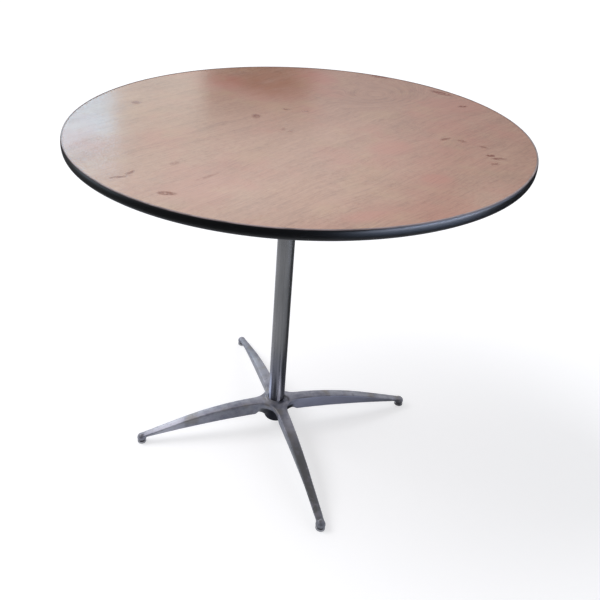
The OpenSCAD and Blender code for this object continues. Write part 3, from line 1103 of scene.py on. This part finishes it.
def hex_ring(mesh: Mesh, across: float, height: float, slope: float) -> Edges:
    """Add the outline of a hexagon whose corners are turned off to a cone.

    Args:
        mesh: The mesh to add to.
        across: Width across the flats.
        height: Height of the end face.
        slope: Rise of the cone for each unit of radius, negative at the upper end.

    Returns:
        The outline's edges, four to a side.
    """
    edges = ring(mesh, across / math.sqrt(3), height, 6)
    made = bmesh.ops.subdivide_edges(mesh, edges=edges, cuts=3)
    outline = list({*edges, *only(bmesh.types.BMEdge, made["geom"])})
    for vert in {vert for edge in outline for vert in edge.verts}:
        vert.co.z += max(0.0, vert.co.xy.length - across * TURNED_SHARE) * slope
    return outline


def bridged(mesh: Mesh, loops: Sequence[Edges]) -> Mesh:
    """Join each loop to the next, and the last to the first.

    Args:
        mesh: The mesh, changed in place.
        loops: Closed loops with the same number of edges.

    Returns:
        The same mesh, closed.
    """
    for first, second in zip(loops, [*loops[1:], loops[0]]):
        bmesh.ops.bridge_loops(mesh, edges=first + second)
    return tidied(mesh)


def threaded(radius: float, depth: float, pitch: float, low: float, high: float) -> Mesh:
    """Make a screw thread as one closed solid.

    Args:
        radius: Radius over the crests.
        depth: Depth of the thread.
        pitch: Rise of one turn.
        low: Height of its lower end.
        high: Height of its upper end.

    Returns:
        The thread, cut square at both ends.
    """
    steps = 18
    weld = 0.01 * MM
    spare_turns = 2
    crest_from, crest_to = 0.42, 0.58
    turns = math.ceil((high - low) / pitch) + spare_turns
    root = radius - depth
    mesh = bmesh.new()
    start = low - pitch
    profile = [(root, 0.0), (radius, crest_from), (radius, crest_to), (root, 1.0)]
    corners = [mesh.verts.new((r, 0.0, start + share * pitch)) for r, share in profile]
    for pair in zip(corners, corners[1:]):
        mesh.edges.new(pair)
    swept(mesh, FULL_TURN * turns, steps * turns, pitch / steps)
    bmesh.ops.remove_doubles(mesh, verts=mesh.verts, dist=weld)
    for height, up in ((low, -1), (high, 1)):
        everything = [*mesh.verts, *mesh.edges, *mesh.faces]
        bmesh.ops.bisect_plane(
            mesh, geom=everything, dist=1e-7, plane_co=(0, 0, height),
            plane_no=(0, 0, up), clear_outer=True,
        )
    open_edges = [edge for edge in mesh.edges if edge.is_boundary]
    bmesh.ops.holes_fill(mesh, edges=open_edges, sides=0)
    return tidied(mesh)


def stored(name: str, mesh: Mesh) -> bpy.types.Mesh:
    """Store a bmesh as mesh data.

    Args:
        name: Name of the data.
        mesh: The mesh, freed afterwards.

    Returns:
        The data.
    """
    data = bpy.data.meshes.new(name)
    mesh.to_mesh(data)
    mesh.free()
    return data


def shown(name: str, data: bpy.types.ID) -> bpy.types.Object:
    """Put data into the scene.

    Args:
        name: Name of its object.
        data: A mesh, lamp or camera.

    Returns:
        The object.
    """
    made = bpy.data.objects.new(name, data)
    bpy.context.scene.collection.objects.link(made)
    return made


def merged(meshes: Iterable[Mesh]) -> Mesh:
    """Put several meshes into one.

    Args:
        meshes: The meshes, freed afterwards.

    Returns:
        One mesh that holds them all.
    """
    total = bmesh.new()
    for part in meshes:
        data = stored("part", part)
        total.from_mesh(data)
        bpy.data.meshes.remove(data)
    return total


def moved(mesh: Mesh, matrix: Matrix) -> Mesh:
    """Move or turn a whole mesh in place."""
    bmesh.ops.transform(mesh, matrix=matrix, verts=mesh.verts)
    return mesh


@dataclass
class Piece:
    """One finished piece of the visual model."""

    name: str
    stands_for: str
    slot: Slot = Slot.ZINC_STEEL
    body: str = "table"
    smooth_angle: float = 30.0

    def make(self, mesh: Mesh, material: Material) -> bpy.types.Object:
        """Turn a mesh into the piece and hand it to the frame.

        Args:
            mesh: The mesh, freed afterwards.
            material: The finish.

        Returns:
            The piece's object, at the origin.
        """
        for face in mesh.faces:
            face.smooth = True
        limit = math.radians(self.smooth_angle)
        for edge in mesh.edges:
            edge.smooth = not edge.is_manifold or edge.calc_face_angle() < limit
        data = stored(self.name, mesh)
        data.materials.append(material)
        made = shown(self.name, data)
        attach(made, self.body)
        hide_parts(self.stands_for)
        LOG.info("%s: %d faces, rides on %s", self.name, len(data.polygons), self.body)
        return made

    def recast(self, voxel: float, passes: int, material: Material) -> None:
        """Copy the casting's CAD node and melt its corners into cast fillets.

        Args:
            voxel: Size of the cells that the form is rebuilt with.
            passes: Smoothing passes over the rebuilt skin.
            material: The finish.
        """
        mesh = bmesh.new()
        mesh.from_mesh(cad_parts[self.stands_for].data)
        bmesh.ops.remove_doubles(mesh, verts=mesh.verts, dist=0.001 * MM)
        made = self.make(mesh, material)
        rebuild = made.modifiers.new("recast", "REMESH")
        rebuild.mode = "VOXEL"
        rebuild.voxel_size = voxel
        rebuild.use_smooth_shade = True
        relax = made.modifiers.new("relax", "SMOOTH")
        relax.factor = 0.5
        relax.iterations = passes


def dress(node: str, finish: Finish) -> None:
    """Give a CAD node that stays its finish.

    Args:
        node: The node's name.
        finish: The finish.
    """
    material = finish.build()
    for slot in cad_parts[node].material_slots:
        slot.material = material
    LOG.info("%s: CAD node dressed as %s", node, finish.name)


# Sub-assemblies


@dataclass
class Tabletop:
    """Plywood panel and the vinyl moulding round its edge."""

    rim_r: float = 457.2 * MM
    panel_r: float = 453.2 * MM
    middle_z: float = 753.25 * MM
    head_h: float = 18.9 * MM
    lip_t: float = 1.5 * MM
    tongue_l: float = 9.5 * MM
    tongue_t: float = 1.4 * MM
    tongue_lap: float = 0.2 * MM
    barb_h: float = 0.6 * MM
    barbs: int = 3
    seam: float = 0.035
    seam_turn: float = 118.0
    crown_share: float = 0.93
    crown_steps: int = 12
    head_steps: int = 256
    tongue_steps: int = 160
    marks: tuple[Mark, ...] = (
        Mark((-57, 72), (17, 11), 84, 0.95),
        Mark((19, 106), (14, 6), -35, 0.9),
        Mark((53, 85), (10, 6), -35, 0.8),
        Mark((-26, -16), (12, 6), 60, 0.5),
        Mark((-14, -28), (9, 6), 20, 0.45),
        Mark((-288, 208), (13, 15), 60, 0.6),
        Mark((265, -125), (18, 6), 20, 0.75),
        Mark((290, -142), (12, 9), -45, 0.75),
        Mark((313, -178), (12, 6), -50, 0.7),
        Mark((303, -221), (11, 7.5), -10, 0.95),
        Mark((309, -238), (18, 7.5), -10, 0.9),
        Mark((288, -259), (11, 6), -5, 0.7),
        Mark((402, 57), (13, 9), 0, 0.95),
        Mark((404, 158), (40, 13), -62, 0.95),
        Mark((320, 313), (32, 12), -45, 0.95),
        Mark((-300, -275), (20, 9), -20, 0.75),
        Mark((-366, -195), (24, 6), 8, 0.7),
        Mark((-347, -180), (15, 6), 45, 0.7),
        Mark((-266, -152), (14, 9), 30, 0.4),
        Mark((-222, -221), (34, 4.5), 30, 0.4),
    )
    blushes: tuple[Mark, ...] = (
        Mark((140, -150), (75, 55), 30, 0.9),
        Mark((152, -302), (45, 38), 0, 1.0),
        Mark((-10, -415), (80, 30), 0, 0.9),
        Mark((160, 330), (75, 110), 0, 1.0),
        Mark((-255, -10), (90, 70), 30, 0.7),
        Mark((-60, 330), (75, 100), 0, 1.0),
        Mark((300, -60), (90, 60), 40, 0.6),
    )
    pebbles: tuple[Mark, ...] = (Mark((-405, -70), (130, 70), 80, 5.0),)
    tints: tuple[ToneMark, ...] = (ToneMark((45, 300), (175, 105), 86, 0.6, paint(150, 94, 64)),)

    def build(self) -> None:
        """Make the moulding and dress the panel."""
        face = RotaryVeneer(
            "face_wood", light=paint(171, 132, 109), middle=paint(160, 119, 98),
            dark=paint(140, 100, 80), rose=paint(168, 112, 94), ochre=paint(168, 134, 104),
            marks=self.marks, blushes=self.blushes, pebbles=self.pebbles, tints=self.tints,
        )
        back = RotaryVeneer(
            "back_wood", light=paint(186, 166, 144), middle=paint(168, 148, 126),
            dark=paint(140, 118, 98), rose=paint(166, 136, 118), ochre=paint(176, 154, 124),
            grain_turn=-8.0, roughness=0.55, knot=(-0.12, -0.2),
        )
        dress("face_veneer", face)
        dress("back_veneer", back)
        dress("tabletop_core", LayeredPly())
        turn = Matrix.Rotation(math.radians(self.seam_turn), 4, "Z")
        lift = Matrix.Translation((0, 0, self.middle_z))
        mesh = moved(merged([self._head(), self._tongue()]), lift @ turn)
        band = Piece("vinyl_edge_band", "edge_moulding", Slot.BLACK_VINYL, smooth_angle=40.0)
        band.make(mesh, EdgeVinyl().build())

    def _head(self) -> Mesh:
        """Make the moulding's head, whose outer corners are rounded far over.

        The section is rounded while it is squashed, so that its rounding is taller than
        wide. A hairline stays open where the ends of the moulding meet.

        Returns:
            The head, about the panel's middle.
        """
        crown = self.rim_r - self.panel_r - self.lip_t
        squash = crown / (self.head_h / 2)
        half = self.head_h / 2 * squash
        inner, outer = self.panel_r, self.rim_r
        mesh = bmesh.new()
        section = [(inner, -half), (outer, -half), (outer, half), (inner, half)]
        corners = [mesh.verts.new((radius, 0.0, height)) for radius, height in section]
        mesh.faces.new(corners)
        rounded(mesh, corners[1:3], crown * self.crown_share, self.crown_steps, "VERTICES")
        bmesh.ops.scale(mesh, vec=(1, 1, 1 / squash), verts=mesh.verts)
        swept(mesh, FULL_TURN - math.radians(self.seam), self.head_steps)
        return tidied(mesh)

    def _tongue(self) -> Mesh:
        """Make the barbed tongue that lies in the panel's kerf.

        Returns:
            The tongue, about the panel's middle.
        """
        pitch = self.tongue_l / self.barbs
        half = self.tongue_t / 2
        start = self.panel_r - self.tongue_l
        upper = []
        for index in range(self.barbs):
            foot = start + pitch * index
            upper.append((foot, half))
            upper.append((foot + pitch * 0.7, half + self.barb_h))
            upper.append((foot + pitch * 0.8, half))
        upper.append((self.panel_r + self.tongue_lap, half))
        lower = [(radius, -height) for radius, height in reversed(upper)]
        return spun(upper + lower, self.tongue_steps)


@dataclass
class RodNut:
    """Hexagon nut of the tie rod."""

    across: float = 14.3 * MM
    height: float = 8.3 * MM
    bore_d: float = 9.5 * MM
    sink: float = 0.5 * MM

    def build(self, name: str, stands_for: str, low: float, steel: Material) -> None:
        """Make the nut, with a countersunk bore.

        Args:
            name: Name of the piece.
            stands_for: The CAD node that it replaces.
            low: Height of its lower face.
            steel: Its finish.
        """
        mesh = bmesh.new()
        high = low + self.height
        face_r, bore_r = self.across * TURNED_SHARE, self.bore_d / 2
        loops = [
            ring(mesh, face_r, low),
            hex_ring(mesh, self.across, low, TURNED_SLOPE),
            hex_ring(mesh, self.across, high, -TURNED_SLOPE),
            ring(mesh, face_r, high),
            ring(mesh, bore_r + self.sink, high),
            ring(mesh, bore_r, high - self.sink),
            ring(mesh, bore_r, low + self.sink),
            ring(mesh, bore_r + self.sink, low),
        ]
        Piece(name, stands_for).make(bridged(mesh, loops), steel)


@dataclass
class Spider:
    """Cast plate under the top, its eight screws and the rod's upper nut."""

    panel_z: float = 744.5 * MM
    arm_t: float = 4.5 * MM
    voxel: float = 1.6 * MM
    nut_z: float = 732.7 * MM
    screw_radii: tuple[float, float] = (70 * MM, 137 * MM)
    screw_d: float = 4.8 * MM
    screw_pitch: float = 2.1 * MM
    screw_neck: float = 0.5 * MM
    point_lap: float = 1.0 * MM
    grip: float = 13.0 * MM
    head_d: float = 9.4 * MM
    head_h: float = 3.0 * MM
    recess_w: float = 0.55 * MM
    recess_deep: float = 1.9 * MM
    recess_taper: float = 0.55

    def build(self) -> None:
        """Make the plate, the screws and the nut."""
        cast = CastMetal("spider_cast", roughness=0.5, bright=paint(156, 157, 162))
        plate = Piece("spider_plate", "mounting_spider", Slot.CAST_ALUMINIUM)
        plate.recast(self.voxel, 3, cast.build())
        steel = PlatedSteel("screw_steel").build()
        Piece("spider_screw_set", "spider_screws").make(merged(self._screws()), steel)
        RodNut().build("rod_top_nut", "top_nut", self.nut_z, steel)

    def _screws(self) -> list[Mesh]:
        """Make the eight screws in their places, each turned its own way.

        Returns:
            One mesh for each screw.
        """
        screws = []
        for foot in Foot:
            for index, radius in enumerate(self.screw_radii):
                place = foot.place(radius) + Vector((0, 0, self.panel_z - self.arm_t))
                spin = Matrix.Rotation(0.7 * foot.value + 1.1 * index, 4, "Z")
                screws.append(moved(self._screw(), Matrix.Translation(place) @ spin))
        return screws

    def _screw(self) -> Mesh:
        """Make one pan-head screw that points up, its head's seat at zero.

        Returns:
            The screw.
        """
        length = self.arm_t + self.grip
        shank_r = self.screw_d / 2
        core_r = shank_r * 0.68
        shank_l = length - self.screw_d
        depth = shank_r - core_r
        shank = threaded(shank_r, depth, self.screw_pitch, self.screw_neck, shank_l)
        low = shank_l - self.point_lap
        point = spun([(0, low), (core_r, low), (0, length)], 18)
        return merged([self._head(), shank, point])

    def _head(self) -> Mesh:
        """Make a pan head with a cross recess in its lower face.

        The recess is the cross of a grid of five by five cells, whose border is drawn
        out to a circle.

        Returns:
            The head, with its seat at zero.
        """
        mesh = bmesh.new()
        cells = 5
        flat_r = self.head_d * 0.32
        arm = flat_r * 0.78
        width = self.recess_w
        lines = [-flat_r, -arm, -width, width, arm, flat_r]
        bmesh.ops.create_grid(mesh, x_segments=cells, y_segments=cells, size=flat_r)
        step = flat_r * 2 / cells
        for vert in mesh.verts:
            vert.co.x = lines[round((vert.co.x + flat_r) / step)]
            vert.co.y = lines[round((vert.co.y + flat_r) / step)]
            if max(abs(vert.co.x), abs(vert.co.y)) > arm + width * 0.1:
                vert.co = vert.co.normalized() * flat_r
        cross = []
        for face in mesh.faces:
            near, far = sorted(map(abs, face.calc_center_median().xy))
            if near < width and far < arm:
                cross.append(face)
        rim = [edge for edge in mesh.edges if edge.is_boundary]
        pushed = bmesh.ops.extrude_face_region(mesh, geom=cross)
        floor = only(bmesh.types.BMVert, pushed["geom"])
        bmesh.ops.delete(mesh, geom=cross, context="FACES_ONLY")
        bmesh.ops.scale(mesh, vec=(self.recess_taper, self.recess_taper, 1), verts=floor)
        bmesh.ops.translate(mesh, vec=(0, 0, self.recess_deep), verts=floor)
        outline = [
            (self.head_d * 0.42, 0.35 * MM), (self.head_d * 0.48, 1.0 * MM),
            (self.head_d * 0.5, 1.7 * MM), (self.head_d * 0.5, self.head_h),
            (self.screw_d * 0.3, self.head_h),
        ]
        for radius, height in outline:
            rim = self._flared(mesh, rim, radius, height)
        bmesh.ops.holes_fill(mesh, edges=rim, sides=0)
        return moved(tidied(mesh), Matrix.Translation((0, 0, -self.head_h)))

    def _flared(self, mesh: Mesh, rim: Edges, radius: float, height: float) -> Edges:
        """Extrude a rim to a new radius and height.

        Args:
            mesh: The mesh, changed in place.
            rim: The open edges.
            radius: Their new radius.
            height: Their new height.

        Returns:
            The new open edges.
        """
        made = bmesh.ops.extrude_edge_only(mesh, edges=rim)["geom"]
        for vert in only(bmesh.types.BMVert, made):
            flat = Vector((vert.co.x, vert.co.y, 0)).normalized() * radius
            vert.co = flat + Vector((0, 0, height))
        return [edge for edge in only(bmesh.types.BMEdge, made) if edge.is_boundary]


@dataclass
class Column:
    """Round tube and the tie rod that runs through it."""

    rod_r: float = 4.75 * MM
    rod_low: float = 30.0 * MM
    rod_high: float = 743.5 * MM
    thread_l: float = 48.0 * MM
    pitch: float = 1.59 * MM
    depth: float = 0.85 * MM
    taper: float = 1.2 * MM
    shank_gap: float = 0.1 * MM

    def build(self) -> None:
        """Dress the tube and make the rod."""
        dress("column_tube", DrawnTube())
        steel = PlatedSteel("rod_steel", roughness=0.38).build()
        Piece("tie_rod_threaded", "tie_rod").make(self._rod(), steel)

    def _rod(self) -> Mesh:
        """Make the rod, threaded at both ends.

        Returns:
            The rod.
        """
        low_end = self.rod_low + self.thread_l
        high_end = self.rod_high - self.thread_l
        low, high = low_end - self.taper, high_end + self.taper
        shank_r = self.rod_r - self.shank_gap
        root = self.rod_r - self.depth
        outline = [
            (0, low), (root, low), (shank_r, low_end), (shank_r, high_end), (root, high), (0, high),
        ]
        parts = [spun(outline, 32, closed=False)]
        half = self.taper / 2
        for start, end in ((self.rod_low, low_end - half), (high_end + half, self.rod_high)):
            parts.append(threaded(self.rod_r, self.depth, self.pitch, start, end))
        return merged(parts)


@dataclass
class Base:
    """Four-leg casting and the washers and nut that clamp it."""

    voxel: float = 1.5 * MM
    under_r: float = 46.0 * MM
    under_z: float = 60.0 * MM
    washer_z: float = 43.2 * MM
    washer_d: float = 30.0 * MM
    washer_t: float = 2.5 * MM
    hole_d: float = 10.7 * MM
    lock_w: float = 3.4 * MM
    lock_t: float = 2.4 * MM
    lock_split: float = 10.0
    washer_soft: float = 0.35 * MM
    lock_soft: float = 0.2 * MM
    # Painted light and shade on the casting, one patch a line: painted sheen on the right leg's
    # sides, painted shade on the front leg, then painted shade in spots round the hub and the
    # column's foot and on the back leg, and a painted highlight on the left leg's tip.
    patches: tuple[ToneMark, ...] = (
        ToneMark((150, -20), (190, 40), 0, 0.8, paint(200, 203, 228), True),
        ToneMark((0, -240), (44, 165), 0, 0.95, paint(112, 115, 118)),
        ToneMark((-27, 15), (18, 10), -30, 0.9, paint(94, 95, 104)),
        ToneMark((9, -18), (17, 7), 25, 0.95, paint(44, 46, 56)),
        ToneMark((24, -8), (9, 16), 10, 0.85, paint(60, 58, 62)),
        ToneMark((14, -40), (9, 22), -8, 0.6, paint(90, 91, 102)),
        ToneMark((0, 120), (16, 70), 0, 0.45, paint(104, 108, 126)),
        ToneMark((-270, 0), (60, 20), 0, 0.8, paint(196, 196, 206)),
    )

    def build(self) -> None:
        """Make the casting and its fastening."""
        cast = CastMetal(
            "base_cast", under_r=self.under_r, under_z=self.under_z, patches=self.patches
        )
        legs = Piece("four_leg_casting", "base_casting", Slot.CAST_ALUMINIUM)
        legs.recast(self.voxel, 4, cast.build())
        steel = PlatedSteel("washer_steel", rusting=0.5).build()
        seat = self.washer_z
        low = seat - self.lock_t
        plate = spun(self._section(self.washer_d / 2, seat, seat + self.washer_t), 64)
        plate = softened(plate, self.washer_soft)
        Piece("rod_plate_washer", "plate_washer").make(plate, steel)
        section = self._section(self.hole_d / 2 + self.lock_w, low, seat)
        lock = softened(spun(section, 48, angle=math.radians(360 - self.lock_split)), self.lock_soft)
        lock = moved(lock, Matrix.Rotation(math.radians(self.lock_split / 2), 4, "Z"))
        Piece("rod_lock_washer", "lock_washer").make(lock, steel)
        nut = RodNut()
        nut.build("rod_clamp_nut", "clamp_nut", low - nut.height, steel)

    def _section(self, outer: float, low: float, top: float) -> Outline:
        """Give a washer's section, from its hole to an outer radius."""
        inner = self.hole_d / 2
        return [(inner, low), (outer, low), (outer, top), (inner, top)]


@dataclass
class Glide:
    """One levelling foot: threaded stem, pressed cup and nylon sole."""

    foot: Foot
    foot_r: float = 327.0 * MM
    cup_d: float = 20.0 * MM
    cup_z: float = 1.2 * MM
    cup_h: float = 5.8 * MM
    cup_wall: float = 1.1 * MM
    cup_round: float = 2.1 * MM
    cup_soft: float = 0.3 * MM
    sole_t: float = 3.2 * MM
    sole_round: float = 1.1 * MM
    gap: float = 0.3 * MM
    stem_d: float = 6.4 * MM
    stem_top: float = 19.7 * MM
    stem_lap: float = 0.2 * MM
    head_d: float = 11.0 * MM
    hex_af: float = 15.0 * MM
    hex_h: float = 2.0 * MM
    pitch: float = 1.27 * MM
    thread_deep: float = 0.7 * MM
    hair: float = 0.1 * MM
    steps: int = 56

    def build(self, steel: Material, plate: Material, nylon: Material) -> None:
        """Make the three pieces.

        Args:
            steel: Finish of the stem.
            plate: Finish of the cup.
            nylon: Finish of the sole.
        """
        name = self.foot.label
        place = Matrix.Translation(self.foot.place(self.foot_r))
        parts = (
            ("stem", "stem", Slot.ZINC_STEEL, self._stem(), steel),
            ("cup", "pad", Slot.CUP_STEEL, self._cup(), plate),
            ("sole", "pad", Slot.NYLON, self._sole(), nylon),
        )
        for part, body, slot, mesh, finish in parts:
            piece = Piece(f"levelling_{part}_{name}", f"glide_{part}_{name}", slot, f"{body}_{name}")
            piece.make(moved(mesh, place), finish)

    def _stem(self) -> Mesh:
        """Make the head, neck, hexagon and thread.

        Returns:
            The stem, about the Z axis.
        """
        neck_r = self.stem_d / 2 - self.gap
        head_r = self.head_d / 2
        head_z = self.sole_t + self.gap
        head_top = self.cup_z + self.cup_h - self.cup_wall - self.gap
        hex_z = self.cup_z + self.cup_h + self.gap
        hex_top = hex_z + self.hex_h
        neck_top = hex_z + self.stem_lap
        outline = [
            (0, head_z), (head_r - 0.8 * MM, head_z), (head_r, head_z + 0.6 * MM),
            (head_r, head_top), (neck_r, head_top), (neck_r, neck_top), (0, neck_top),
        ]
        head = spun(outline, 32, closed=False)
        nut = bmesh.new()
        inner, face_r = neck_r * 0.5, self.hex_af * TURNED_SHARE
        loops = [
            ring(nut, inner, hex_z),
            ring(nut, face_r, hex_z),
            hex_ring(nut, self.hex_af, hex_z, TURNED_SLOPE),
            hex_ring(nut, self.hex_af, hex_top, -TURNED_SLOPE),
            ring(nut, face_r, hex_top),
            ring(nut, inner, hex_top),
        ]
        low = hex_top - self.stem_lap
        thread = threaded(self.stem_d / 2, self.thread_deep, self.pitch, low, self.stem_top)
        return merged([head, bridged(nut, loops), thread])

    def _cup(self) -> Mesh:
        """Press the cup, with a rolled lower rim and a round shoulder.

        Returns:
            The cup, about the Z axis.
        """
        outer = self.cup_d / 2
        inner = outer - self.cup_wall
        hole = self.stem_d / 2
        top = self.cup_z + self.cup_h
        under = top - self.cup_wall
        section = [
            (hole, top), (hole, under), (inner, under), (inner, self.cup_z),
            (outer, self.cup_z), (outer, top),
        ]
        mesh = spun(section, self.steps)
        shoulder = [
            edge for edge in mesh.edges
            if all(v.co.z > top - self.hair and v.co.xy.length > inner for v in edge.verts)
        ]
        return softened(rounded(mesh, shoulder, self.cup_round, 6), self.cup_soft)

    def _sole(self) -> Mesh:
        """Turn the sole, with a rounded tread.

        Returns:
            The sole, about the Z axis.
        """
        radius = self.cup_d / 2 - self.cup_wall
        section = [(0, 0), (radius, 0), (radius, self.sole_t), (0, self.sole_t)]
        mesh = spun(section, self.steps, closed=False)
        tread = [
            edge for edge in mesh.edges
            if all(v.co.z < self.hair and v.co.xy.length > radius / 2 for v in edge.verts)
            and edge.calc_face_angle(0.0) > 1.0
        ]
        return rounded(mesh, tread, self.sole_round, 5)


@dataclass
class Studio:
    """Floor, light, backdrop and camera of the picture."""

    floor_r: float = 14.0
    floor_sides: int = 96
    image: float = 600.0
    sensor: float = 36.0
    focal_px: float = 737.4
    centre_px: tuple[float, float] = (218.1, 222.6)
    distance: float = 1.4092
    height: float = 1.2442
    pitch: float = 0.4635
    yaw: float = -0.1047
    roll: float = 0.017
    table_turn: float = -19.12
    fill: Colour = (0.59, 0.60, 0.62, 1.0)
    sheen: Colour = (0.42, 0.42, 0.46, 1.0)
    softboxes: tuple[Softbox, ...] = (
        Softbox(0, 66, 180, 16, (12, 14), (0.62, 0.63, 0.76, 1.0)),
        Softbox(-48, 47, 14, 8, (24, 10), (1.5, 1.5, 1.62, 1.0)),
        Softbox(-22, 26.5, 24, 3.0, (18, 9.5), (2.0, 1.95, 1.88, 1.0)),
        Softbox(-14, 26.5, 8, 2, (8, 3), (2.4, 2.45, 2.4, 1.0)),
        Softbox(30, 40, 45, 6, (20, 4), (0.38, 0.37, 0.42, 1.0)),
        Softbox(42, 22, 19, 11, (3, 4), (0.7, 0.7, 0.7, 1.0)),
        Softbox(20, 25, 4.5, 1.5, (2.5, 2.5), (1.6, 1.7, 1.6, 1.0)),
        Softbox(-10.8, 17, 3.7, 3.5, (0.8, 2.5), (1.38, 1.46, 1.38, 1.0)),
        Softbox(-24.4, 18.5, 9.4, 1.5, (0.8, 2.2), (2.25, 3.6, 4.4, 1.0)),
        Softbox(-3, 14.5, 4, 2.3, (0.6, 1.8), (0.02, 0.02, 0.03, 1.0)),
        Softbox(170, 30, 50, 60, (25, 25), (0.10, 0.10, 0.12, 1.0)),
        Softbox(-85, 0, 8, 4, (14, 8), (0.8, 0.8, 0.9, 1.0)),
        Softbox(78, 20, 10, 10, (12, 12), (0.55, 0.55, 0.62, 1.0)),
    )
    key_strength: float = 1.7
    key_soft: float = 38.0
    key_from: Triple = (-0.75, 0.35, 1.0)

    def build(self) -> None:
        """Make the whole studio."""
        self._floor()
        self._world()
        self._key()
        self._camera()
        bpy.context.scene.view_settings.view_transform = "Standard"

    def _floor(self) -> None:
        """Lay the floor."""
        mesh = bmesh.new()
        bmesh.ops.create_circle(mesh, cap_ends=True, segments=self.floor_sides, radius=self.floor_r)
        data = stored("studio_floor", mesh)
        data.materials.append(StudioFloor(turn=self.table_turn).build())
        shown("studio_floor", data)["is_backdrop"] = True

    def _world(self) -> None:
        """Light the studio evenly, behind it white for the eye and softboxes for gloss."""
        graph = Graph(bpy.data.worlds.new("studio"))
        bpy.context.scene.world = graph.owner
        way = graph.node("ShaderNodeTexCoord", output="Generated")
        way = graph.mapped(way, turn=self.table_turn)
        azimuth = way.azimuth()
        elevation = way.part("Z").rise_angle()
        sheen: Value = self.sheen
        for box in self.softboxes:
            sheen = graph.blend(box.over(azimuth, elevation), sheen, box.colour)
        light = graph.blend(graph.ray("Is Glossy Ray"), self.fill, sheen)
        light = graph.blend(graph.ray("Is Camera Ray"), light, WHITE)
        graph.join(graph.tree.nodes["Background"].inputs["Color"], light)

    def _key(self) -> None:
        """Hang the soft key light on the left."""
        lamp = bpy.data.lights.new("key", "SUN")
        lamp.energy = self.key_strength
        lamp.angle = math.radians(self.key_soft)
        key = shown("key", lamp)
        key.visible_glossy = False
        key.rotation_euler = Vector(self.key_from).to_track_quat("Z", "Y").to_euler()

    def _camera(self) -> None:
        """Stand the camera where the photograph was taken from."""
        cos_p, sin_p = math.cos(self.pitch), math.sin(self.pitch)
        cos_y, sin_y = math.cos(self.yaw), math.sin(self.yaw)
        ahead = Vector((sin_y * cos_p, cos_y * cos_p, -sin_p))
        level = Vector((cos_y, -sin_y, 0.0))
        upright = level.cross(ahead)
        right = level * math.cos(self.roll) + upright * math.sin(self.roll)
        up = upright * math.cos(self.roll) - level * math.sin(self.roll)
        axes = Matrix((right, up, -ahead)).transposed().to_4x4()
        place = Matrix.Translation((0.0, -self.distance, self.height))
        turn = Matrix.Rotation(math.radians(self.table_turn), 4, "Z")
        lens = bpy.data.cameras.new("camera")
        lens.sensor_width = self.sensor
        lens.lens = self.focal_px / self.image * self.sensor
        lens.shift_x = (self.image / 2 - self.centre_px[0]) / self.image
        lens.shift_y = (self.centre_px[1] - self.image / 2) / self.image
        camera = shown("camera", lens)
        camera.matrix_world = turn @ place @ axes
        bpy.context.scene.camera = camera


def clear_defaults() -> None:
    """Remove what a new Blender file holds besides the frame."""
    for name in ("Cube", "Light", "Camera"):
        leftover = bpy.data.objects.get(name)
        if leftover is not None:
            bpy.data.objects.remove(leftover)


def corners() -> list[list[float]]:
    """Give the shown object's lowest and highest corner as plain lists."""
    return [list(corner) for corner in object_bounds()]


def main() -> None:
    """Build the studio and every sub-assembly."""
    logging.basicConfig(level=logging.INFO, format="%(name)s: %(message)s")
    clear_defaults()
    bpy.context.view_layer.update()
    for part in (Studio(), Tabletop(), Spider(), Column(), Base()):
        part.build()
    steel = PlatedSteel("stem_steel", rusting=0.45)
    plate = PlatedSteel("cup_plate", paint(200, 200, 200), paint(152, 152, 155), rusting=0.2)
    finishes = [finish.build() for finish in (steel, plate, MouldedNylon())]
    for foot in Foot:
        Glide(foot).build(*finishes)


if __name__ == "__main__":
    main()
